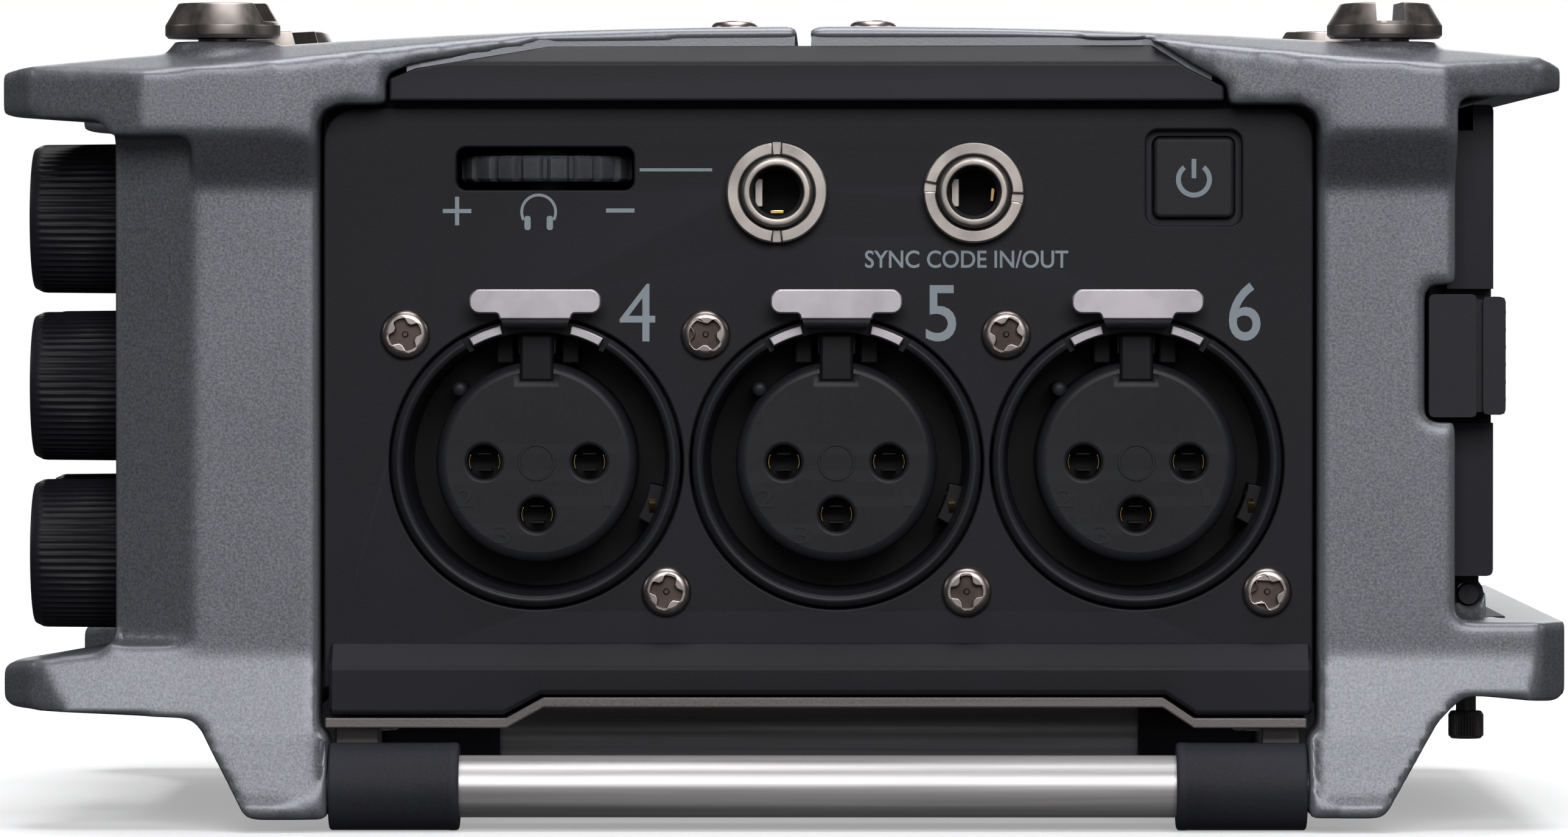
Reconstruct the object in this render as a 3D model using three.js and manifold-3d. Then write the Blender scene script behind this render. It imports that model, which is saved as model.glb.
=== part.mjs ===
// A portable field recorder with six microphone inputs: two cast frames, front and rear, clamp a black body
// between them. Millimetres, +Z up. The front panel faces -Y, inputs 4 to 6 are on the +X side, inputs 1 to 3
// on the -X side. The origin is on the surface it stands on, under the middle of its bounding box.
import * as THREE from "three";
import { mergeVertices } from "three/addons/utils/BufferGeometryUtils.js";
import Module from "manifold-3d";

const wasm = await Module();
wasm.setup();

// ---------------------------------------------------------------- driving dimensions
const halfLength = 60.6; // half the depth, front horn tips to rear shelf edge
const halfWidth = 50; // half the width, across the wings
const crest = 62.1; // highest line of the cast top
const crestY = 4; // where along the depth the crest lies
const archRadius = 620; // radius of the arched top
const gap = 0.3; // clearance between neighbouring fixed pieces
const postX = 46.5; // outer face of the frame posts
const panelX = 45.3; // outer face of the side panels
const panelBackX = 43;
const cavityX = 42.4; // half the width of the space inside
const seam = { front: 1.1, rear: 2.1 }; // the two cast top plates stop short of each other
const topPlateZ = 61; // underside of the cast top plates
const frontFaceY = -51.85; // front face of the front posts
const frontPostBackY = -35.8;
const rearPostFrontY = 41.2;
const rearFaceY = 51.85; // rear face of the rear posts
const legFrontY = -35.1; // the legs' faces that hold the rods
const legRearY = 40.4;
const legBottomZ = 0.95;
const plateZ = { end: 7.9, middle: 9.5 }; // underside of the bottom plate
const shelf = { bottom: 9.65, top: 16.1 }; // rear shelf under the battery
const visor = { bottom: 56.6, tipBottom: 57.1 }; // rear visor over the battery
const rodRadius = 2.4;
const capRadius = 3.4;
const rodX = 46; // the rods run along Y at this distance from the middle
const rodZ = capRadius;

const inputZ = 28.4; // centre height of the six inputs
const inputY = [-19.1, 4.1, 27.3];
const knobZ = [47.3, 34.15, 21]; // three rows of level knobs
const knobX = [12.6, 31.5]; // two columns
const trackKeyX = [3.3, 22.05];
const wheel = { x: 38.9, y: -18.4, z: 51.1, radius: 6.8, thickness: 2 };
const jackZ = 49.25;
const jackY = { phones: -0.5, sync: 14.7 };
const power = { y: 31.7, z: 50.4, size: 5.8, well: 7.4 };
const cornerScrews = [
  { name: "corner_screw_front_right", x: 43.5, y: -43.4, slotTurn: 1.15 },
  { name: "corner_screw_front_left", x: -43.5, y: -43.4, slotTurn: 0.5 },
  { name: "corner_screw_rear_right", x: 43.5, y: 46.5, slotTurn: 0.06 },
  { name: "corner_screw_rear_left", x: -43.5, y: 46.5, slotTurn: 1.9 },
];
const boss = { top: 60.9, topRadius: 3.95, baseRadius: 4.7, base: 59.2 };
const hinge = { y: 53.4, z: 18, radius: 1.3, pin: 0.8, hole: 1.05 };
const door = { x: 41.2, bottom: 19.5, top: 56.1, inner: 51.5, outer: 55.1 };
const bay = { x: 26.2, front: 19.5, rear: 49.2, bottom: 18.6, top: 49.4, wall: 1.2 };
const flap = { y: 20, z: 50, width: 25, height: 8, hingeZ: 46.4 };
const thumb = { x: 25, y: 54.1, z: 6.1, radius: 1.4, length: 2.2 };

// ---------------------------------------------------------------- shape helpers
// A closed three.js geometry as a manifold solid.
function solid(geometry) {
  const bare = geometry.clone();
  for (const name of ["normal", "uv"]) bare.deleteAttribute(name);
  const merged = mergeVertices(bare, 1e-4);
  return new wasm.Manifold(
    new wasm.Mesh({
      numProp: 3,
      vertProperties: merged.attributes.position.array,
      triVerts: new Uint32Array(merged.index.array),
    }),
  );
}

// A manifold solid as a three.js geometry.
function geometryOf(made) {
  const mesh = made.getMesh();
  const positions = new Float32Array(mesh.numVert * 3);
  for (let i = 0; i < mesh.numVert; i++)
    positions.set(mesh.vertProperties.subarray(i * mesh.numProp, i * mesh.numProp + 3), i * 3);
  const geometry = new THREE.BufferGeometry();
  geometry.setAttribute("position", new THREE.BufferAttribute(positions, 3));
  geometry.setIndex(new THREE.BufferAttribute(mesh.triVerts, 1));
  geometry.computeVertexNormals();
  return geometry;
}

const union = (...solids) => solids.reduce((a, b) => a.add(b));
const cut = (from, ...solids) => solids.reduce((a, b) => a.subtract(b), from);

function box([x0, x1], [y0, y1], [z0, z1]) {
  const geometry = new THREE.BoxGeometry(x1 - x0, y1 - y0, z1 - z0);
  return solid(geometry.translate((x0 + x1) / 2, (y0 + y1) / 2, (z0 + z1) / 2));
}

// An outline from points [a, b] or [a, b, radius]; a radius rounds that corner with a tangent arc.
function outline(points) {
  const shape = new THREE.Shape();
  points.forEach(([a, b, radius = 0], i) => {
    const corner = new THREE.Vector2(a, b);
    const before = new THREE.Vector2(...points.at(i - 1).slice(0, 2)).sub(corner);
    const after = new THREE.Vector2(...points[(i + 1) % points.length].slice(0, 2)).sub(corner);
    const go = (p) => (i ? shape.lineTo(p.x, p.y) : shape.moveTo(p.x, p.y));
    if (!radius) {
      go(corner);
      return;
    }
    const half = Math.acos(before.dot(after) / before.length() / after.length()) / 2;
    const reach = radius / Math.tan(half);
    const start = corner.clone().addScaledVector(before, reach / before.length());
    const end = corner.clone().addScaledVector(after, reach / after.length());
    go(start);
    shape.quadraticCurveTo(corner.x, corner.y, end.x, end.y);
  });
  return shape;
}

const extrude = (points, depth, segments = 4) =>
  new THREE.ExtrudeGeometry(outline(points), { depth, bevelEnabled: false, curveSegments: segments });

// Prisms along each axis; the outline's points are (y, z), (x, z) and (x, y).
function prismX(points, [x0, x1], segments) {
  const turn = new THREE.Matrix4().makeBasis(
    new THREE.Vector3(0, 1, 0),
    new THREE.Vector3(0, 0, 1),
    new THREE.Vector3(1, 0, 0),
  );
  return solid(extrude(points, x1 - x0, segments).applyMatrix4(turn).translate(x0, 0, 0));
}

function prismY(points, [y0, y1], segments) {
  return solid(extrude(points, y1 - y0, segments).rotateX(Math.PI / 2).translate(0, y1, 0));
}

function prismZ(points, [z0, z1], segments) {
  return solid(extrude(points, z1 - z0, segments).translate(0, 0, z0));
}

const rectangle = ([a0, a1], [b0, b1], r) => [
  [a0, b0, r],
  [a1, b0, r],
  [a1, b1, r],
  [a0, b1, r],
];

// A solid of revolution about +Z from a profile of [radius, height] points, starting and ending on the axis.
function turned(profile, sides = 24) {
  const points = profile.map(([r, z]) => new THREE.Vector2(r, z));
  return solid(new THREE.LatheGeometry(points, sides).rotateX(Math.PI / 2));
}

// LatheGeometry turns about Y; a cylinder of radius r from z0 to z1 about Z.
const cylinder = (r, z0, z1, sides = 24) =>
  turned(
    [
      [0, z0],
      [r, z0],
      [r, z1],
      [0, z1],
    ],
    sides,
  );

const alongX = (made) => made.rotate([0, 90, 0]);
const alongY = (made) => made.rotate([-90, 0, 0]);
const mirrorX = (made) => made.mirror([1, 0, 0]);
const bothSides = (made) => made.add(mirrorX(made));

// A closed skin through rings of equally many points, each ring's points in order.
function loft(rings) {
  const n = rings[0].length;
  const positions = rings.flat(2);
  const index = [];
  for (let r = 0; r + 1 < rings.length; r++)
    for (let i = 0; i < n; i++) {
      const [a, b] = [r * n + i, r * n + ((i + 1) % n)];
      index.push(a, b, b + n, a, b + n, a + n);
    }
  for (let i = 1; i + 1 < n; i++) {
    index.push(0, i + 1, i);
    const last = (rings.length - 1) * n;
    index.push(last, last + i, last + i + 1);
  }
  const geometry = new THREE.BufferGeometry();
  geometry.setAttribute("position", new THREE.Float32BufferAttribute(positions, 3));
  geometry.setIndex(index);
  const made = solid(geometry);
  return made.volume() < 0 ? loft(rings.map((ring) => [...ring].reverse())) : made;
}

const topZ = (y) => crest - (y - crestY) ** 2 / (2 * archRadius);
const steps = (from, to, count) =>
  Array.from({ length: count + 1 }, (_, i) => from + ((to - from) * i) / count);
const archPoints = (from, to, count) => steps(from, to, count).map((y) => [y, topZ(y)]);

// ---------------------------------------------------------------- cast frames
// The bevel along both long edges of the arched top, as a solid to cut away.
function topBevel() {
  const inner = 45.6;
  const drop = 1.35;
  const rings = steps(-halfLength - 1, halfLength + 1, 16).map((y) => [
    [inner, y, topZ(y)],
    [halfWidth + 1, y, topZ(y) - (drop * (halfWidth + 1 - inner)) / (halfWidth - inner)],
    [halfWidth + 1, y, topZ(y) + 3],
    [inner, y, topZ(y) + 3],
  ]);
  return bothSides(loft(rings));
}

// What sets the posts back from the wings: it slopes in under the top wing and flares out again at the leg.
function postSetback([y0, y1]) {
  return bothSides(
    prismY(
      [
        [49.7, 2.2],
        [47.9, 7.5],
        [postX, 13.5],
        [postX, 49.9],
        [halfWidth + 0.5, 54.4],
        [halfWidth + 1, 54.4],
        [halfWidth + 1, 2.2],
      ],
      [y0, y1],
    ),
  );
}

function bossWithHole({ x, y }) {
  const profile = [
    [0, boss.base - 1],
    [boss.baseRadius, boss.base - 1],
    [boss.baseRadius, boss.base],
    [4.15, 60.1],
    [boss.topRadius, boss.top],
    [0, boss.top],
  ];
  const place = (made) => made.translate([x, y, 0]);
  return { body: place(turned(profile, 20)), hole: place(cylinder(2.3, 54, 64, 12)) };
}

function rodSockets(y, towards) {
  const socket = alongY(cylinder(1.9, 0, 3.2, 12));
  return bothSides(socket.translate([rodX, towards > 0 ? y - 0.01 : y - 3.19, rodZ]));
}

function frontFrame() {
  const side = prismX(
    [
      [seam.front, topPlateZ],
      ...archPoints(seam.front, -58.2, 9),
      [-halfLength, 58.6],
      [-halfLength, 55.4],
      [-59.9, 55.15],
      [frontFaceY, 54.7, 1.2],
      [frontFaceY, 14, 1.2],
      [-59.9, 12.9],
      [-halfLength, 12.4],
      [-halfLength, 9.9],
      [-59.9, 9.35],
      [-45.4, 8.65, 1.5],
      [-41.3, legBottomZ, 1.2],
      [legFrontY, legBottomZ],
      [legFrontY, 7.4],
      [frontPostBackY, 7.85],
      [frontPostBackY, 56, 1.6],
      [-30.6, 56],
      [-30.6, 58.3],
      [-28.6, 59.1],
      [-18, 60.8],
    ],
    [-halfWidth, halfWidth],
    2,
  );
  // Seen from above, the wings run out to horns at the corners and draw back between them.
  const half = [
    [46.4, 3],
    [46.4, -18],
    [48.7, -31],
    [halfWidth, -38.8],
    [halfWidth, -49.4],
    [46.4, -58, 2.5],
    [41.5, -halfLength, 1.5],
    [37.6, -halfLength, 1.2],
    [31, -55, 10],
    [22, -52.2, 20],
  ];
  const plan = prismZ([...half, ...half.toReversed().map(([x, y, r]) => [-x, y, r])], [-1, 66], 4);
  const facet = bothSides(
    prismZ(
      [
        [postX, -45.6],
        [42.4, frontFaceY - 0.01],
        [52, frontFaceY - 0.01],
        [52, -45.6],
      ],
      [14.3, 53.6],
    ),
  );
  const bosses = cornerScrews.filter(({ y }) => y < 0).map(bossWithHole);
  return cut(
    union(
      cut(side.intersect(plan), topBevel(), postSetback([-62, frontPostBackY + 0.5])),
      ...bosses.map((b) => b.body),
    ),
    facet,
    box([-40.6, 40.6], [-62, -47], [15, 54]),
    box([-cavityX, cavityX], [-48.2, 3], [10.6, 58.3]),
    box([-cavityX, cavityX], [-21.6, 3], [58, topPlateZ]),
    box([-cavityX, cavityX], [-30.9, 3], [58, 59.9]),
    box([-41, 41], [-48.2, -30], [-1, 9.2]),
    box([-41, 41], [-60, -30], [-1, 8.6]),
    rodSockets(legFrontY, -1),
    ...bosses.map((b) => b.hole),
  );
}

function hingeLugs() {
  const lug = alongX(
    cut(
      union(cylinder(hinge.radius, 0, 2.4, 12), box([0, 2.2], [-hinge.radius, hinge.radius], [0, 2.4])),
      cylinder(hinge.hole, -1, 4, 12),
    ),
  );
  return [-39.4, -25, 22.6, 37].map((x) => lug.translate([x, hinge.y, hinge.z]));
}

function rearFrame() {
  const side = prismX(
    [
      [seam.rear, topPlateZ],
      [19.6, topPlateZ],
      [28.6, 60.9],
      [31.4, 59.1],
      [34.2, 57.6],
      [34.2, 56],
      [rearPostFrontY, 56, 1.6],
      [rearPostFrontY, 7.85],
      [legRearY, 7.4],
      [legRearY, legBottomZ + 0.15],
      [46.2, legBottomZ + 0.15, 1.2],
      [50.6, 8.6, 1.6],
      [52.6, 10.5, 2],
      [59.6, shelf.bottom + 0.2],
      [halfLength, shelf.bottom + 0.7],
      [halfLength, shelf.top],
      [rearFaceY, shelf.top, 0.8],
      [rearFaceY, visor.bottom, 0.6],
      [57, visor.bottom],
      [60.1, visor.tipBottom],
      [60.1, 59],
      ...archPoints(58.2, seam.rear, 9),
    ],
    [-halfWidth, halfWidth],
    2,
  );
  const half = [
    [46.4, 1],
    [46.4, 22],
    [48.7, 33],
    [halfWidth, 42.8],
    [halfWidth, 50.8],
    [46.8, 58.3, 2.5],
    [42.5, halfLength, 1.5],
  ];
  const plan = prismZ([...half, ...half.toReversed().map(([x, y, r]) => [-x, y, r])], [-1, 66], 4);
  const latchNotch = bothSides(prismX(rectangle([49.5, 53], [31.5, 42.1], 0.7), [40, 52], 2));
  const bosses = cornerScrews.filter(({ y }) => y > 0).map(bossWithHole);
  return cut(
    union(
      cut(
        cut(side.intersect(plan), topBevel(), postSetback([rearPostFrontY - 0.5, 62])),
        box([-cavityX, cavityX], [48, 62], [shelf.top, visor.bottom]),
        box([-cavityX, cavityX], [1, 48.6], [10.6, 58.3]),
        box([-cavityX, cavityX], [1, 28.8], [58, topPlateZ]),
        box([-cavityX, cavityX], [1, 34.5], [58, 59.9]),
        box([-41, 41], [30, 50.5], [-1, 9.2]),
      ),
      ...bosses.map((b) => b.body),
      ...hingeLugs(),
    ),
    latchNotch,
    rodSockets(legRearY, 1),
    cylinder(1, 8, 14, 16).translate([thumb.x, thumb.y, 0]),
    ...bosses.map((b) => b.hole),
  );
}

// ---------------------------------------------------------------- body covers
function topCover() {
  const profile = [
    [-30.3, 56.3],
    [33.9, 56.3],
    [33.9, 57.4],
    [31.1, 58.8],
    [28.4, 60.6],
    [-18, 60.5],
    [-28.3, 58.8],
    [-30.3, 58],
  ];
  const section = [
    [47.9, 56.3],
    [47.9, 59.2],
    [46.3, 60.9],
  ];
  const outside = prismX(profile, [-48, 48]).intersect(
    prismY([...section, ...section.toReversed().map(([x, z]) => [-x, z])], [-31, 35]),
  );
  const panelRoom = box([-45.4, 45.4], [-32, 36], [56, 57.6]);
  return cut(outside, panelRoom, box([-cavityX, cavityX], [-32, 36], [56, 59.4]));
}

function sidePanel(holes) {
  const plate = prismX(
    [
      [-35.5, 11],
      [40.9, 11],
      [40.9, 55.8, 2.6],
      [-35.5, 55.8, 2.6],
    ],
    [panelBackX, panelX],
  );
  // The skirt under the inputs stands proud and is cut up in the middle to clear a strap.
  const skirtSection = prismY(
    [
      [panelBackX, 8.9],
      [46.9, 8.9],
      [46.9, 12.6],
      [panelX - 0.1, 14.6],
      [panelBackX, 14.6],
    ],
    [-34.9, 40.6],
  );
  const skirtSide = prismX(
    [
      [-34.9, 8.95],
      [-21.6, 8.95],
      [-18.7, 10.5],
      [29.5, 10.5],
      [31.9, 8.95],
      [40.6, 8.95],
      [40.6, 14.7],
      [-34.9, 14.7],
    ],
    [panelBackX, 47],
  );
  return cut(plate.add(skirtSection.intersect(skirtSide)), ...holes);
}

const inputHoles = () =>
  inputY.map((y) => alongX(cylinder(11.35, 42, 48, 24)).translate([0, y, inputZ]));

function rightPanel() {
  const well = (size, r, x) => {
    const half = size / 2;
    return prismX(rectangle([power.y - half, power.y + half], [power.z - half, power.z + half], r), x);
  };
  return sidePanel([
    ...inputHoles(),
    ...Object.values(jackY).map((y) => alongX(cylinder(3.3, 42, 48, 16)).translate([0, y, jackZ])),
    prismX(rectangle([wheel.y - 6.85, wheel.y + 6.85], [wheel.z - 1.65, wheel.z + 1.65], 0.7), [42, 48]),
    well(power.well, 0.9, [44.3, 48]),
    well(power.size + 0.7, 0.6, [42, 48]),
  ]);
}

// Drawn on the +X side and turned round, so y and z keep their sense after the turn about Z.
function leftPanel() {
  const [y0, y1] = [-flap.y - flap.width / 2, -flap.y + flap.width / 2];
  const [z0, z1] = [flap.z - flap.height / 2, flap.z + flap.height / 2];
  const flapWell = prismX(rectangle([y0 - 0.4, y1 + 0.4], [z0 - 0.4, z1 + 0.4], 1), [44.2, 48]);
  const usbPort = prismX(rectangle([y1 - 11, y1 - 1.8], [flap.z - 1.7, flap.z + 1.7], 1.5), [42, 48]);
  const cardSlot = box([42, 48], [y0 + 1.6, y0 + 13], [flap.z - 0.9, flap.z + 0.9]);
  const lineOut = alongX(cylinder(3.3, 42, 48, 16)).translate([0, 6, jackZ]);
  const turnedHoles = inputHoles().map((hole, i) => hole.translate([0, -2 * inputY[i], 0]));
  const plain = sidePanel([]).mirror([0, 1, 0]);
  return cut(plain, ...turnedHoles, flapWell, usbPort, cardSlot, lineOut);
}

function bottomPlate() {
  const thickness = 0.8;
  const { end, middle } = plateZ;
  const under = [
    [-35.4, end],
    [-21.4, end],
    [-18.5, middle],
    [29.3, middle],
    [31.7, end],
    [40.4, end],
  ];
  const over = under.toReversed().map(([y, z]) => [y, z + thickness]);
  const plate = prismX([...under, ...over], [-46.2, 46.2]);
  const tabs = [
    [-34.8, -31.4],
    [37.1, 40.1],
  ].map((y) => bothSides(box([38.4, 42.2], y, [5.8, end + 0.1])));
  const socketBoss = cylinder(6, middle, 12.2, 24);
  return cut(union(plate, ...tabs, socketBoss), cylinder(3.2, 5, 14, 20));
}

// ---------------------------------------------------------------- front panel and its controls
const screen = { x: [-38, -3], z: [27.4, 52.4] };
const controlKeys = [
  { name: "menu_key", x: -33.4, z: 23.7, height: 3.4 },
  { name: "previous_key", x: -20.5, z: 23.7, height: 3.4 },
  { name: "next_key", x: -7.6, z: 23.7, height: 3.4 },
  { name: "stop_key", x: -33.4, z: 18.4, height: 4.4 },
  { name: "play_key", x: -20.5, z: 18.4, height: 4.4 },
  { name: "record_key", x: -7.6, z: 18.4, height: 4.4 },
].map((key) => ({ ...key, width: 9.6 }));
const trackKeys = trackKeyX.flatMap((x, column) =>
  knobZ.map((z, row) => ({ name: `track_${column * 3 + row + 1}_key`, x, z, width: 4.4, height: 4.4 })),
);
const frontY = { panel: [-50, -48.4], keyFace: -50.9, keyBack: -46.3, board: [-44.2, -42.6] };

const keyShape = ({ x, z, width, height }, grow) =>
  rectangle(
    [x - width / 2 - grow, x + width / 2 + grow],
    [z - height / 2 - grow, z + height / 2 + grow],
    0.7 + grow / 2,
  );

function frontPanel() {
  return cut(
    prismY(rectangle([-40.3, 40.3], [15.3, 53.7], 0.8), frontY.panel),
    prismY(rectangle(screen.x, screen.z, 0.8), [-51, -47]),
    ...[...controlKeys, ...trackKeys].map((key) => prismY(keyShape(key, 0.25), [-51, -47], 2)),
    ...knobX.flatMap((x) => knobZ.map((z) => alongY(cylinder(3.6, -51, -47, 12)).translate([x, 0, z]))),
  );
}

function displayWindow() {
  const [x0, x1] = screen.x;
  const [z0, z1] = screen.z;
  return prismY(rectangle([x0 + gap, x1 - gap], [z0 + gap, z1 - gap], 0.6), [-50.2, -49]);
}

// A key with its cap at the front and a flange that the panel holds it by, about its own centre in x and z.
function key({ width, height }) {
  const at = { x: 0, z: 0, width, height };
  return union(
    prismY(keyShape(at, 0), [frontY.keyFace, -47.8], 2),
    box([-width / 2 - 0.5, width / 2 + 0.5], [-48.1, -47.4], [-height / 2 - 0.5, height / 2 + 0.5]),
    box([-1, 1], [-47.5, frontY.keyBack], [-1, 1]),
  );
}

function frontBoard() {
  const [y0, y1] = frontY.board;
  const pots = knobX.flatMap((x) =>
    knobZ.map((z) =>
      union(
        box([x - 4.6, x + 4.6], [-48, y0 + 0.1], [z - 4.6, z + 4.6]),
        alongY(cylinder(2.6, -56.3, -47.9, 8)).translate([x, 0, z]),
      ),
    ),
  );
  const switches = [...controlKeys, ...trackKeys].map(({ x, z }) =>
    box([x - 1.3, x + 1.3], [-45.6, y0 + 0.1], [z - 1.3, z + 1.3]),
  );
  const displayModule = box([-37.4, -3.6], [-48.7, y0 + 0.1], [28, 51.8]);
  return union(box([-39.6, 39.6], [y0, y1], [15.6, 53.4]), displayModule, ...pots, ...switches);
}

// Level knob about its own axis: its skirt at y = 0 and its face towards -Y.
function knob() {
  const length = 8.4;
  const body = turned(
    [
      [0, 0],
      [5.85, 0],
      [5.8, length - 1],
      [5.45, length],
      [0, length],
    ],
    24,
  );
  const bore = cylinder(2.95, -1, 6.2, 12);
  return cut(body, bore).rotate([90, 0, 0]);
}

// ---------------------------------------------------------------- side controls and sockets
// Inputs are drawn about their own centre, +X out of the panel and x = 0 on the panel's face.
const input = { lip: 11.15, wall: 10.05, insert: 7.75, depth: 17.4, groove: 11.5, face: -0.9 };

function inputHousing() {
  const ring = turned(
    [
      [0, -input.depth],
      [input.lip, -input.depth],
      [input.lip, 0.3],
      [10.8, 0.65],
      [input.wall, 0.65],
      [input.wall, -input.groove],
      [input.insert, -input.groove],
      [input.insert, input.face],
      [0, input.face],
    ],
    24,
  );
  const pins = [
    [-4.065, 0],
    [4.065, 0],
    [0, -4.065],
  ].map(([y, z]) => alongX(cylinder(1.38, -9, 1, 8)).translate([0, y, z]));
  // A slot through the ring's top for the release lever, and the deep notch its hook works in.
  const leverSlot = prismX(fan(9.9, 11.6, 33), [-13.4, 2]);
  const hookNotch = box([-13.4, 2], [-2.1, 2.1], [6.6, 10.2]);
  return cut(alongX(ring), ...pins, leverSlot, hookNotch);
}

// A ring sector about +Z of the outline plane, reaching `degrees` to either side of straight up.
function fan(inner, outer, degrees, count = 4) {
  const angles = steps(-degrees, degrees, count).map(THREE.MathUtils.degToRad);
  const arc = (r) => angles.map((a) => [r * Math.sin(a), r * Math.cos(a)]);
  return [...arc(outer), ...arc(inner).reverse()].reverse();
}

// The release lever: a thumb bar in front of the panel, a curved plate in the ring's slot, and a hook.
function inputLatch() {
  const bar = prismX(rectangle([-5.1, 5.1], [11.6, 13.5], 0.9), [2, 2.8], 2);
  const neck = box([2, 2.8], [-2.7, 2.7], [10.3, 11.8]);
  const plate = prismX(fan(10.15, 10.95, 30), [-12, 0.55]);
  const stem = prismX(fan(10.15, 10.95, 13), [0, 2.8]);
  const hook = box([-11, -1.6], [-1.6, 1.6], [7.9, 10.3]);
  return union(bar, neck, plate, stem, hook);
}

// A 3.5 mm jack about its own axis, x = 0 on the panel's face: barrel, ring nut and body behind.
function jack() {
  const turnedPart = turned(
    [
      [0, -9],
      [3.05, -9],
      [3.05, 0.3],
      [3.9, 0.3],
      [3.9, 1.3],
      [2.95, 1.3],
      [2.95, 1],
      [2.7, 1],
      [2.7, 1.9],
      [1.8, 1.9],
      [1.8, -8],
      [0, -8],
    ],
    18,
  );
  const wrenchSlots = box([0.8, 2.5], [-0.5, 0.5], [-5, 5]);
  return cut(alongX(turnedPart), cut(wrenchSlots, alongX(cylinder(3, 0, 3, 12)))).add(
    box([-13, -8.5], [-4.2, 4.2], [-3.4, 3.4]),
  );
}

// The volume wheel about +Z, with thumb lobes round its rim.
function volumeWheel() {
  const lobes = 18;
  const rim = Array.from({ length: lobes * 2 }, (_, i) => {
    const turnBy = ((i >> 1) + (i % 2 ? 0.34 : -0.34)) * ((2 * Math.PI) / lobes);
    return [wheel.radius * Math.cos(turnBy), wheel.radius * Math.sin(turnBy)];
  });
  const gaps = Array.from({ length: lobes }, (_, i) => {
    const turnBy = ((i + 0.5) * 2 * Math.PI) / lobes;
    const r = wheel.radius + 0.25;
    return cylinder(0.55, -2, 2, 8).translate([r * Math.cos(turnBy), r * Math.sin(turnBy), 0]);
  });
  const half = wheel.thickness / 2;
  return cut(prismZ(rim, [-half, half]), ...gaps).add(cylinder(1.5, -2.4, 1.6, 16));
}

function powerButton() {
  const half = power.size / 2;
  return union(
    prismX(rectangle([-half, half], [-half, half], 0.5), [-2.4, -0.2], 3),
    prismX(rectangle([-half - 0.6, half + 0.6], [-half - 0.6, half + 0.6], 0.4), [-3.4, -2.5], 2),
    box([-2.6, -2.3], [-half, half], [-half, half]),
  );
}

function flapCover() {
  const [w, h] = [flap.width, flap.height];
  const cover = prismX(rectangle([-w / 2, w / 2], [0, h], 0.8), [-0.7, 0.9], 3);
  const tab = rectangle([-w / 2 - 1.6, -w / 2 + 1], [h / 2 - 1.6, h / 2 + 1.6], 0.7);
  const fingerTab = prismX(tab, [0.35, 0.9], 3);
  return union(cover, fingerTab);
}

// ---------------------------------------------------------------- rods, caps and screws
function rod() {
  const [from, to] = [legFrontY + 0.3, legRearY - 0.3];
  const profile = [
    [0, from - 2.6],
    [1.6, from - 2.6],
    [1.6, from],
    [rodRadius, from],
    [rodRadius, to],
    [1.6, to],
    [1.6, to + 2.6],
    [0, to + 2.6],
  ];
  return alongY(turned(profile, 20));
}

function rodCap(length) {
  const ring = turned(
    [
      [0, 0],
      [capRadius - 0.35, 0],
      [capRadius, 0.35],
      [capRadius, length - 0.35],
      [capRadius - 0.35, length],
      [0, length],
    ],
    20,
  );
  return alongY(cut(ring, cylinder(rodRadius + 0.25, -1, length + 1, 20)));
}

// A slotted screw with a coned head, about its own axis; z is counted from the stand surface.
function cornerScrew(slotTurn) {
  const head = turned(
    [
      [0, 56],
      [1.9, 56],
      [1.9, boss.top + 0.25],
      [4.43, boss.top + 0.25],
      [4.43, boss.top + 1.15],
      [3.45, 63.9],
      [0, 63.9],
    ],
    20,
  );
  const slot = box([-6, 6], [-1.1, 1.1], [62.5, 65]);
  return cut(head, slot.rotate([0, 0, THREE.MathUtils.radToDeg(slotTurn)]));
}

function thumbScrew() {
  const ribs = 18;
  const head = Array.from({ length: ribs * 2 }, (_, i) => {
    const angle = (i * Math.PI) / ribs;
    const r = thumb.radius - (i % 2 ? 0.14 : 0);
    return [r * Math.cos(angle), r * Math.sin(angle)];
  });
  return union(prismZ(head, [0, thumb.length]), cylinder(0.8, thumb.length - 0.1, 5.6, 12));
}

// ---------------------------------------------------------------- battery door, latches and bay
function batteryDoor() {
  const plate = prismX(
    [
      [door.inner, door.bottom],
      [door.outer, door.bottom, 0.5],
      [door.outer, door.top, 0.5],
      [door.outer - 1.6, door.top],
      [door.outer - 1.6, door.top - 2],
      [door.inner, door.top - 2],
    ],
    [-door.x, door.x],
    3,
  );
  const innerBulge = box([-38.6, 38.6], [50.2, door.inner + 0.1], [21, 52.6]);
  const bed = prismY(rectangle([-36, 36], [21.6, 52], 1), [52.3, 56]);
  const hooks = [-20, 12].flatMap((x) => [
    prismX(
      [
        [52, 22.2],
        [54.1, 22.2],
        [54.1, 23.1],
        [52, 23.1],
      ],
      [x, x + 8],
    ),
    prismX(
      [
        [52, 51.4],
        [52, 50.5],
        [54.1, 50.5],
        [54.1, 51.4],
      ],
      [x, x + 8],
    ),
  ]);
  const contacts = [30.8, 36.8, 42.8].map((z) => box([26.5, 33], [52.2, 54], [z - 0.5, z + 0.5]));
  const latchRoom = bothSides(box([38.7, 43], [49, 56], [31.4, 41.8]));
  const barrel = alongX(
    union(cylinder(hinge.radius, -5.6, 5.6, 16), cylinder(hinge.pin, -7.4, 7.4, 16)),
  ).translate([0, hinge.y, hinge.z]);
  const web = box([-5.6, 5.6], [52.5, 54.3], [hinge.z, door.bottom + 0.5]);
  return union(
    cut(plate.add(innerBulge), bed, latchRoom),
    ...hooks,
    ...contacts,
    ...[-31, 31].flatMap((x) => [barrel.translate([x, 0, 0]), web.translate([x, 0, 0])]),
  );
}

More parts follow.
